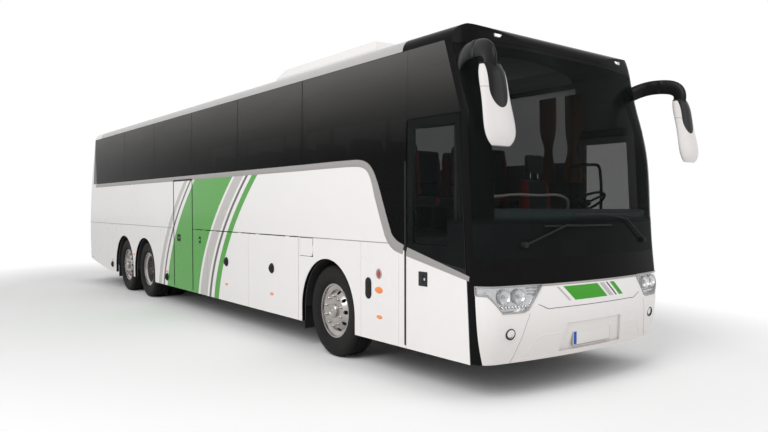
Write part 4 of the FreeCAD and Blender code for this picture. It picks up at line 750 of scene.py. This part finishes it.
def makeSideLamps():
    # marker lamps, a vent, two signal lamps, rubber buffers and roof markers on both sides
    look = sideLook
    for hand, side in hands:
        y = side * coach["half"]
        wide, high = look["markerSize"]
        for index, (x, z, word) in enumerate(look["markers"]):
            shape = bmesh.new()
            pebble(shape, (x, y, z), (wide + 0.012, high + 0.012), 0.003, 1)
            pebble(shape, (x, y, z), (wide, high), 0.010, 0)
            finishPiece("sideMarker_%s_%d" % (hand, index), shape, "lamp_red", amberLens, whitePaint,
                        body=flapBody(hand, word))
        x, low, high = look["vent"]
        wide = look["ventRadius"]
        shape = bmesh.new()
        softBox(shape, (x - wide, y - 0.006, low), (x + wide, y + 0.006, high), 0.003)
        for z in (low, high):
            lathe(shape, [(-0.002, wide), (0.005, wide), (0.007, wide - 0.003), (0.006, 0.0)],
                  (x, y, z), (0, side, 0), 40)
        for z in look["ventSlats"]:
            block(shape, (x, y, z), (wide, 0.018, 0.008), 0.002)
        finishPiece("sideVents_" + hand, shape, "black_rubber", sealRubber)
        shape = bmesh.new()
        for paint, (z, out, size, flat) in enumerate(look["signals"]):
            pebble(shape, (look["signalX"], y + side * out, z), size, flat, paint)
        finishPiece("sideSignals_" + hand, shape, "lamp_red", trimSilver, redLens, amberLens)
        wide = look["bufferWide"]
        for index, (x, z, word) in enumerate(look["buffers"]):
            shape = bmesh.new()
            lathe(shape, [(-0.002, wide / 2 + 0.004), (0.004, wide / 2 + 0.004), (0.007, wide / 2),
                          (0.006, 0.0)], (x, y, z), (0, side, 0), 40)
            pebble(shape, (x, y, z), (wide, wide), look["bufferHigh"])
            block(shape, (x, y + side * 0.029, z), (0.080, 0.004, 0.012), 0.0018)
            finishPiece("buffer_%s_%d" % (hand, index), shape, "black_rubber", sealRubber,
                        body=flapBody(hand, word))
        low, high = look["roofMarkerHeight"]
        edge = sideY(coach["cant"])
        shape = bmesh.new()
        for x in look["roofMarkers"]:
            softBox(shape, (x - 0.04, side * (edge - 0.035) - 0.014, low),
                    (x + 0.04, side * (edge - 0.02) + 0.014, high), 0.006)
        finishPiece("roofMarkers_" + hand, shape, "lamp_red", amberLens)


# body that it rides on, place along and up, width and height
handleLook = {
    "doorHandle": ("front_door", 5.918, 1.018, 0.135, 0.135),
    "midDoorHandle": ("mid_door", -0.826, 1.173, 0.150, 0.115),
    "smallFlapLock": ("flap_right_small", 0.141, 1.170, 0.060, 0.105),
}


def makeHandles():
    # recessed pull handles: front door, mid door and the narrow flap ahead of it
    y = -coach["half"]
    for name, (body, x, z, wide, high) in handleLook.items():
        shape = bmesh.new()
        block(shape, (x, y, z), (wide, 0.012, high), 0.005)
        block(shape, (x - wide * 0.13, y - 0.0045, z), (wide * 0.46, 0.017, high * 0.6), 0.005)
        lathe(shape, [(0.0, 0.012), (0.010, 0.012), (0.012, 0.008), (0.012, 0.0)],
              (x + wide * 0.28, y - 0.004, z), (0, -1, 0), 20, 1)
        finishPiece(name, shape, "black_rubber", darkTrim, chrome, body=body)


makeSideLamps()
makeHandles()
print("side fittings made")


# nose: headlamps, fog lamps, mouldings and the blank plate

noseLook = {
    "bowls": [(0.921, 0.914, 0.060), (1.068, 0.916, 0.060)],
    "glints": [(1.118 - 0.034 * step, 0.824) for step in range(10)],
    "slats": [(0.725, 0.815, 0.930), (0.715, 0.820, 0.955), (0.705, 0.825, 0.980),
              (1.150, 1.205, 0.905), (1.150, 1.215, 0.930), (1.150, 1.225, 0.955)],
    "fog": (1.013, 0.595),
    "plate": (-0.01, 0.480, 0.53, 0.125),
    "plateBand": 0.045,
    "panelSeam": [(-0.734, 0.834), (-0.624, 0.789), (0.624, 0.789), (0.734, 0.834)],
    "sideCrease": [(0.825, 0.762), (0.865, 0.656), (0.899, 0.535), (0.947, 0.404), (0.981, 0.336)],
    "plateLip": [(0.45, 0.557), (0.655, 0.557), (0.735, 0.522), (0.83, 0.390)],
    "panelTop": [(-0.68, 0.999), (0.68, 0.999)],
    "brow": [(-1.156, 3.098), (-0.995, 3.154), (-0.827, 3.161), (0.827, 3.161), (0.995, 3.154),
             (1.156, 3.098)],
    "capMarkers": [-0.86, 0.86],
    "capMarkerHeight": (3.205, 3.238),
}


def noseLine(name, places, radius, sink, paint, slotName):
    # bead laid along the nose through places across and up, partly sunk into it
    points = []
    for start, end in zip(places, places[1:]):
        start = Vector(start)
        end = Vector(end)
        count = max(1, round((end - start).length / 0.07))
        points += [start.lerp(end, step / count) for step in range(count)]
    points.append(Vector(places[-1]))
    spots = [(frontX(*point) - sink, point.x, point.y) for point in points]
    finishPiece(name, sweep(name, spots, radius), slotName, paint)


def openRims(shape):
    # the open edges of a mesh as loops of places
    rest = {edge for edge in shape.edges if edge.is_boundary}
    loops = []
    while rest:
        edge = rest.pop()
        first, spot = edge.verts
        loop = [first.co.copy()]
        while spot is not first:
            loop.append(spot.co.copy())
            edge = next(way for way in spot.link_edges if way in rest)
            rest.remove(edge)
            spot = edge.other_vert(spot)
        loops.append(loop)
    return loops


def lampHousings():
    # reflector behind each lens: the lens's own front skin, set back, with a rim towards the front
    shape = bmesh.new()
    shape.from_mesh(nodes["headlamps"].data)
    bmesh.ops.remove_doubles(shape, verts=shape.verts, dist=0.0001)
    shape.normal_update()
    rest = [face for face in shape.faces if face.normal.x < 0.25]
    bmesh.ops.delete(shape, geom=rest, context="FACES")
    surround = bmesh.new()
    for loop in openRims(shape):
        absorb(surround, sweep("rim", loop, 0.0075, True, "VECTOR"))
    finishPiece("lampSurrounds", surround, "dark_trim", trimSilver)
    move(shape, (-0.038, 0, 0))
    rim = [edge for edge in shape.edges if edge.is_boundary]
    made = bmesh.ops.extrude_edge_only(shape, edges=rim)["geom"]
    bmesh.ops.translate(shape, verts=[spot for spot in made if isinstance(spot, bmesh.types.BMVert)],
                        vec=(0.032, 0, 0))
    finishPiece("lampHousings", shape, "lamp_lens", reflector)


def makeLamps():
    lampHousings()
    for hand, side in hands:
        shape = bmesh.new()
        for y, z, radius in noseLook["bowls"]:
            place = Vector((frontX(side * y, z) - 0.050, side * y, z))
            lathe(shape, [(0.0, 0.0), (0.002, radius * 0.35), (0.010, radius * 0.7), (0.026, radius * 0.93),
                          (0.040, radius)], place, (1, 0, 0), 36, 0)
            lathe(shape, [(0.040, radius), (0.043, radius + 0.003), (0.040, radius + 0.008),
                          (0.02, radius + 0.008)], place, (1, 0, 0), 36, 1)
            lathe(shape, [(0.004, 0.0), (0.030, 0.0), (0.028, 0.014), (0.020, 0.019), (0.004, 0.019)],
                  place, (1, 0, 0), 24, 1)
        for y, z in noseLook["glints"]:
            place = Vector((frontX(side * y, z) - 0.034, side * y, z))
            lathe(shape, [(0.0, 0.0135), (0.006, 0.0125), (0.012, 0.008), (0.014, 0.0)],
                  place, (1, 0, 0), 16)
        for near, far, z in noseLook["slats"]:
            x = min(frontX(side * near, z), frontX(side * far, z))
            low, high = sorted((side * near, side * far))
            softBox(shape, (x - 0.036, low, z - 0.004), (x - 0.012, high, z + 0.004), 0.0015, 1)
        finishPiece("lampBowls_" + hand, shape, "lamp_lens", chrome, trimSilver)
        shape = bmesh.new()
        y, z = noseLook["fog"]
        spot, normal = noseHit(side * y, z)
        axis = (normal + Vector((1, 0, 0))).normalized()
        lathe(shape, [(-0.016, 0.050), (0.004, 0.050), (0.007, 0.047), (0.006, 0.041), (-0.008, 0.038)],
              spot, axis, 36, 0)
        lathe(shape, [(-0.008, 0.0385), (-0.002, 0.034), (0.003, 0.020), (0.005, 0.0)], spot, axis, 36, 1)
        finishPiece("fogLamp_" + hand, shape, "lamp_lens", darkTrim, chrome)


def makePlate():
    y, z, wide, high = noseLook["plate"]
    x = frontX(y, z)
    shape = bmesh.new()
    block(shape, (x - 0.003, y, z), (0.018, wide + 0.016, high + 0.016), 0.003)
    block(shape, (x + 0.0055, y, z), (0.007, wide, high), 0.002, 1)
    softBox(shape, (x + 0.003, y - wide / 2 + 0.003, z - high / 2 + 0.003),
            (x + 0.0095, y - wide / 2 + noseLook["plateBand"], z + high / 2 - 0.003), 0.0015, 2)
    finishPiece("blankPlate", shape, "white_paint", trimSilver, nosePaint, plateBlue)


def makeCapMarkers():
    low, high = noseLook["capMarkerHeight"]
    shape = bmesh.new()
    for y in noseLook["capMarkers"]:
        x = frontX(y, 3.225)
        softBox(shape, (x - 0.030, y - 0.045, low), (x + 0.006, y + 0.045, high), 0.006)
    finishPiece("capMarkers", shape, "lamp_lens", reflector)


makeLamps()
makePlate()
makeCapMarkers()
noseLine("panelTop", noseLook["panelTop"], 0.011, 0.004, trimSilver, "polished_alloy")
noseLine("panelSeam", noseLook["panelSeam"], 0.0032, 0.0015, darkTrim, "black_rubber")
noseLine("brow", noseLook["brow"], 0.005, 0.003, glossBlack, "dark_trim")
for hand, side in hands:
    crease = [(side * y, z) for y, z in noseLook["sideCrease"]]
    noseLine("bumperSeam_" + hand, crease, 0.0028, 0.0015, seamGrey, "dark_trim")
    lip = [(side * y, z) for y, z in noseLook["plateLip"]]
    noseLine("plateLip_" + hand, lip, 0.0085, 0.0055, nosePaint, "white_paint")
print("nose dressed")


# inside: seats, rails, a window frame and curtains

def baked(holder):
    # plain mesh of an object with its modifiers applied
    done = holder.evaluated_get(bpy.context.evaluated_depsgraph_get())
    return bpy.data.meshes.new_from_object(done)


def plump(name, shape, voxel, cap, faces):
    # foam under cloth: the closed shape is remeshed, blown up a little, then thinned to a face count
    holder = placed(name, meshOf(name, shape))
    grid = holder.modifiers.new("grid", "REMESH")
    grid.mode = "VOXEL"
    grid.voxel_size = voxel
    holder.data = baked(holder)
    holder.modifiers.clear()
    rest = [spot.co.copy() for spot in holder.data.vertices]
    cloth = holder.modifiers.new("cloth", "CLOTH")
    cloth.settings.use_pressure = True
    cloth.settings.uniform_pressure_force = 4
    cloth.settings.effector_weights.gravity = 0
    cloth.point_cache.frame_end = 20
    for step in range(1, 21):
        bpy.context.scene.frame_set(step)
    swollen = baked(holder)
    for spot, start in zip(swollen.vertices, rest):
        shift = spot.co - start
        if shift.length > cap:
            spot.co = start + shift.normalized() * cap
    holder.modifiers.clear()
    holder.data = swollen
    bpy.context.scene.frame_set(1)
    fewer = holder.modifiers.new("fewer", "DECIMATE")
    fewer.ratio = min(1, faces / (2 * len(holder.data.polygons)))
    plain = baked(holder)
    done = bmesh.new()
    done.from_mesh(plain)
    bpy.data.objects.remove(holder)
    bpy.data.meshes.remove(plain)
    return done


seatLook = {
    "pair": (0.4675, 0.9525),
    "wide": 0.455,
    "first": 4.438,
    "pitch": 0.790,
    "rows": 14,
    "skip": (6, 7),
    "deck": 1.380,
    "seam": 0.150,
    "driver": (5.508, 0.62, 0.98, 1.330),
}


def cushionShape(wide):
    # squab with a round front edge, in the seat's own frame
    shape = bmesh.new()
    softBox(shape, (0.035, -wide / 2 + 0.012, 0.335), (0.448, wide / 2 - 0.012, 0.415), 0.030, segments=3)
    return shape


def backShape(wide, top):
    # tall back that narrows to a head rest and leans rearward
    shape = bmesh.new()
    half = wide / 2 - 0.012
    softBox(shape, (-0.035, -half, 0.44), (0.050, half, top - 0.02), 0.028, segments=3)
    for height in (0.56, 0.70, 0.84, top - 0.19, top - 0.12):
        cuts = list(shape.verts) + list(shape.edges) + list(shape.faces)
        bmesh.ops.bisect_plane(shape, geom=cuts, plane_co=(0, 0, height), plane_no=(0, 0, 1))
    for spot in shape.verts:
        rise = (spot.co.z - 0.44) / (top - 0.46)
        head = min(max((spot.co.z - (top - 0.22)) / 0.20, 0), 1)
        spot.co.x += 0.016 - 0.044 * rise + 0.012 * head
        spot.co.y *= 1 - 0.14 * head * head
        if spot.co.x > 0.0 and rise < 0.75:
            bolster = max(abs(spot.co.y) / (wide / 2) - 0.55, 0)
            spot.co.x += 0.035 * bolster
    return shape


def seamLines(shape, side):
    # sewn lines between the middle panel and the two side panels
    for spot in shape.verts:
        away = abs(abs(spot.co.y) - side)
        if away < 0.016:
            spot.co -= spot.normal * 0.0045 * (1 - away / 0.016)


def scatter(target, source, places):
    # copies of one cushion, set at several places
    for place in places:
        copy = source.copy()
        move(copy, place)
        absorb(target, copy)
    source.free()


def seatCloth(name, centres):
    # woven seat cloth: charcoal middle, deep red sides, a fine weave in the bump
    paint = Paint(name)
    away = abs(paint.y)
    for centre in centres:
        away = abs(away - centre)
    side = paint.above(away, seatLook["seam"], 0.006) * (1 - paint.above(paint.z, 2.36, 0.01))
    weave = paint.wave("DIAGONAL", 160.0)
    fleck = paint.noise(420.0, 2.0)
    middle = paint.blend(fleck, (0.020, 0.021, 0.023), (0.052, 0.054, 0.058))
    shade = paint.blend(side, middle, paint.blend(fleck, (0.21, 0.012, 0.012), (0.36, 0.03, 0.025)))
    return paint.surface(shade, 0.82 + fleck * 0.12, weave * 0.6 + fleck * 0.4, 0.0007, sheen=0.25)


def makeSeats():
    look = seatLook
    wide = look["wide"]
    spots = []
    for row in range(look["rows"]):
        for side in (1, -1):
            if side < 0 and row in look["skip"]:
                continue
            spots += [(look["first"] - row * look["pitch"], side * y, look["deck"]) for y in look["pair"]]
    cloth = seatCloth("seatCloth", (0.71, 0.2425))
    squab = plump("squab", cushionShape(wide), 0.012, 0.012, 700)
    seamLines(squab, look["seam"])
    back = plump("back", backShape(wide, 1.085), 0.012, 0.010, 1100)
    seamLines(back, look["seam"])
    for name, source in (("seatSquabs", squab), ("seatBacks", back)):
        many = bmesh.new()
        scatter(many, source, spots)
        piece = finishPiece(name, many, "seat_cloth", cloth, smooth=180)
        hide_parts("passenger_seats")
    frames = bmesh.new()
    for x, y, deck in spots:
        block(frames, (x + 0.22, y, deck + 0.318), (0.40, 0.40, 0.036), 0.010)
        block(frames, (x - 0.046, y, deck + 0.72), (0.012, 0.38, 0.44), 0.004)
        if abs(y) < 0.6:
            side = 1 if y > 0 else -1
            block(frames, (x + 0.18, y - side * 0.235, deck + 0.5875), (0.30, 0.032, 0.035), 0.012, 1)
            for leg in (-0.18, 0.18):
                block(frames, (x + 0.22, y + side * 0.24 + leg, deck + 0.16), (0.24, 0.04, 0.28), 0.006)
    piece = finishPiece("seatFrames", frames, "dark_trim", darkSteel, darkTrim)
    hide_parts("passenger_seats")


def makeDriverSeat():
    x, y, floor, top = seatLook["driver"]
    cloth = seatCloth("driverCloth", (0.62,))
    squab = plump("driverSquab", cushionShape(0.49), 0.009, 0.012, 6000)
    seamLines(squab, seatLook["seam"])
    move(squab, (x, y, floor + 0.01))
    back = plump("driverBack", backShape(0.49, top - 0.28), 0.009, 0.012, 9000)
    seamLines(back, seatLook["seam"])
    move(back, (x, y, floor))
    head = bmesh.new()
    softBox(head, (-0.05, -0.135, top - 0.235), (0.035, 0.135, top - 0.02), 0.035, segments=3)
    head = plump("driverHead", head, 0.009, 0.012, 3000)
    move(head, (x - 0.005, y, floor))
    absorb(back, head)
    for name, shape in (("driverSquab", squab), ("driverBack", back)):
        piece = finishPiece(name, shape, "seat_cloth", cloth, smooth=180)
        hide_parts("driver_seat")
    base = bmesh.new()
    block(base, (x + 0.23, y, floor + 0.3125), (0.40, 0.42, 0.065), 0.015)
    block(base, (x + 0.22, y, floor + 0.1525), (0.24, 0.26, 0.265), 0.030)
    block(base, (x - 0.0425, y, floor + 0.74), (0.015, 0.40, 0.48), 0.006)
    for side in (-1, 1):
        foot = (x - 0.01, y + side * 0.06, floor + top - 0.29)
        lathe(base, [(0, 0.0), (0, 0.008), (0.10, 0.008), (0.10, 0.0)], foot, (0, 0, 1), 12, 1)
    piece = finishPiece("driverSeatBase", base, "dark_trim", darkTrim, chrome)
    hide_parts("driver_seat")


cabLook = {
    "dashRail": [(6.42, -1.02, 1.66), (6.47, -1.00, 1.745), (6.49, -0.80, 1.79), (6.50, -0.35, 1.80),
                 (6.50, 0.02, 1.785), (6.48, 0.10, 1.73), (6.46, 0.11, 1.66)],
    "dashRailRadius": 0.014,
    "windowBar": [(5.63, 1.10, 2.18), (5.95, 1.10, 2.18), (6.05, 1.10, 2.16), (6.08, 1.10, 2.06),
                  (6.09, 1.10, 1.60)],
    "windowBarRadius": 0.018,
    "windowFrame": [((5.575, 1.13, 1.40), (5.655, 1.216, 3.02)), ((5.60, 1.15, 2.49), (6.36, 1.216, 2.58))],
    "curtains": [(5.50, 5.78, 1.135), (5.08, 5.36, 1.135)],
    "curtainTop": 3.02,
    "curtainFoot": 1.98,
    "pleats": 7,
    "pleatDeep": 0.026,
    "tieDown": 0.62,
    "tieShare": 0.52,
}


def makeCab():
    look = cabLook
    rail = sweep("dashRail", look["dashRail"], look["dashRailRadius"])
    finishPiece("dashRail", rail, "polished_alloy", trimSilver)
    bar = sweep("windowBar", look["windowBar"], look["windowBarRadius"])
    finishPiece("windowBar", bar, "dark_trim", darkTrim)
    shape = bmesh.new()
    for low, high in look["windowFrame"]:
        softBox(shape, low, high, 0.012)
    finishPiece("driverWindowFrame", shape, "dark_trim", darkTrim)


def curtainCloth():
    paint = Paint("curtainCloth")
    thread = paint.noise(300.0, 2.0, (1, 1, 0.2))
    fade = paint.noise(3.0, 2.0)
    shade = paint.blend(fade, (0.115, 0.045, 0.022), (0.19, 0.080, 0.040))
    return paint.surface(shade, 0.85 + thread * 0.1, thread, 0.0006, sheen=0.3)


def makeCurtains():
    # pleated curtains drawn back against the pillar and tied at the waist
    look = cabLook
    cloth = curtainCloth()
    top = look["curtainTop"]
    foot = look["curtainFoot"]
    for index, (rear, front, y) in enumerate(look["curtains"]):
        shape = bmesh.new()
        bmesh.ops.create_grid(shape, x_segments=96, y_segments=60, size=0.5)
        for spot in shape.verts:
            across = spot.co.x + 0.5
            down = 0.5 - spot.co.y
            tie = 1 - look["tieShare"] * math.exp(-((down - look["tieDown"]) / 0.16) ** 2)
            spread = (front - rear) * tie
            mid = (front + rear) / 2 + (0.04 if index else -0.04) * (1 - tie)
            fold = math.sin(across * math.tau * look["pleats"] + 0.6 * math.sin(down * 5))
            pleat = fold * look["pleatDeep"] * (0.6 + 0.4 * down)
            spot.co = (mid + (across - 0.5) * spread, y + pleat * (0.55 + 0.45 * tie),
                       top + (foot - top) * down)
        area = sum(face.calc_area() for face in shape.faces)
        piece = finishPiece("curtain_%d" % index, shape, "seat_cloth", cloth, smooth=180)


makeSeats()
makeDriverSeat()
makeCab()
makeCurtains()
print("inside made")


# stage, light and camera

stageLook = {
    "floorShade": 0.98,
    "floorReach": (8.8, 4.2),
    "worldPower": 0.62,
    "key": ((9, -12, 11), (1, 0, 1.5), 9, 1150.0),
    "fill": ((15, 6, 7), (5, 0, 1.5), 7, 290.0),
    "camera": (11.0475, -5.08076, 1.675),
    "yaw": 137.92,
    "pitch": -1.91,
    "roll": 0.21,
    "focal": 687.758,
    "picture": (768, 432),
    "centre": (489.365, 231.274),
}


def makeFloor():
    shape = bmesh.new()
    bmesh.ops.create_grid(shape, x_segments=1, y_segments=1, size=120)
    floor = placed("studioFloor", meshOf("studioFloor", shape))
    paint = Paint("studioFloor")
    grain = paint.noise(0.7)
    shade = stageLook["floorShade"]
    color = paint.blend(grain * 0.05, (shade, shade, shade), (0.9, 0.9, 0.9))
    along = paint.x / stageLook["floorReach"][0]
    across = paint.y / stageLook["floorReach"][1]
    fade = paint.clamp(along * along + across * across - 1)
    seen = paint.node("ShaderNodeLightPath", {}, {}, "Is Camera Ray")
    floor.data.materials.append(paint.surface(color, 0.9, backdrop=fade * seen, specular=0.1))


def makeWorld():
    # the sky looks white to the camera, through glass and in gloss, and lights the coach less than that
    world = bpy.data.worlds.new("studioSky")
    bpy.context.scene.world = world
    paint = Paint("studioSky", world)
    seen = 0.0
    for kind in ("Camera", "Transmission", "Glossy"):
        ray = paint.node("ShaderNodeLightPath", {}, {}, "Is %s Ray" % kind)
        seen = paint.maths("MAXIMUM", ray, seen)
    power = stageLook["worldPower"]
    sockets = {"Color": (1, 1, 1), "Strength": seen * (1 - power) + power}
    sky = paint.node("ShaderNodeBackground", {}, sockets, 0)
    paint.node("ShaderNodeOutputWorld", {}, {"Surface": sky})


def areaLamp(name, place, target, width, power):
    data = bpy.data.lights.new(name, "AREA")
    data.shape = "SQUARE"
    data.size = width
    data.energy = power
    lamp = placed(name, data)
    lamp.location = place
    lamp.rotation_euler = (Vector(target) - Vector(place)).to_track_quat("-Z", "Y").to_euler()


def makeCamera():
    look = stageLook
    yaw = math.radians(look["yaw"])
    pitch = math.radians(look["pitch"])
    forward = Vector((math.cos(yaw) * math.cos(pitch), math.sin(yaw) * math.cos(pitch), math.sin(pitch)))
    data = bpy.data.cameras.new("camera")
    data.sensor_width = 36
    wide, high = look["picture"]
    data.lens = look["focal"] * 36 / wide
    data.shift_x = (wide / 2 - look["centre"][0]) / wide
    data.shift_y = (look["centre"][1] - high / 2) / wide
    data.clip_end = 500
    camera = placed("camera", data)
    camera.location = look["camera"]
    roll = Matrix.Rotation(math.radians(look["roll"]), 3, "Z").to_quaternion()
    camera.rotation_mode = "QUATERNION"
    camera.rotation_quaternion = forward.to_track_quat("-Z", "Y") @ roll
    bpy.context.scene.camera = camera


makeFloor()
makeWorld()
areaLamp("softKey", *stageLook["key"])
areaLamp("softFill", *stageLook["fill"])
makeCamera()
bpy.context.scene.view_settings.view_transform = "Standard"
print("stage set")
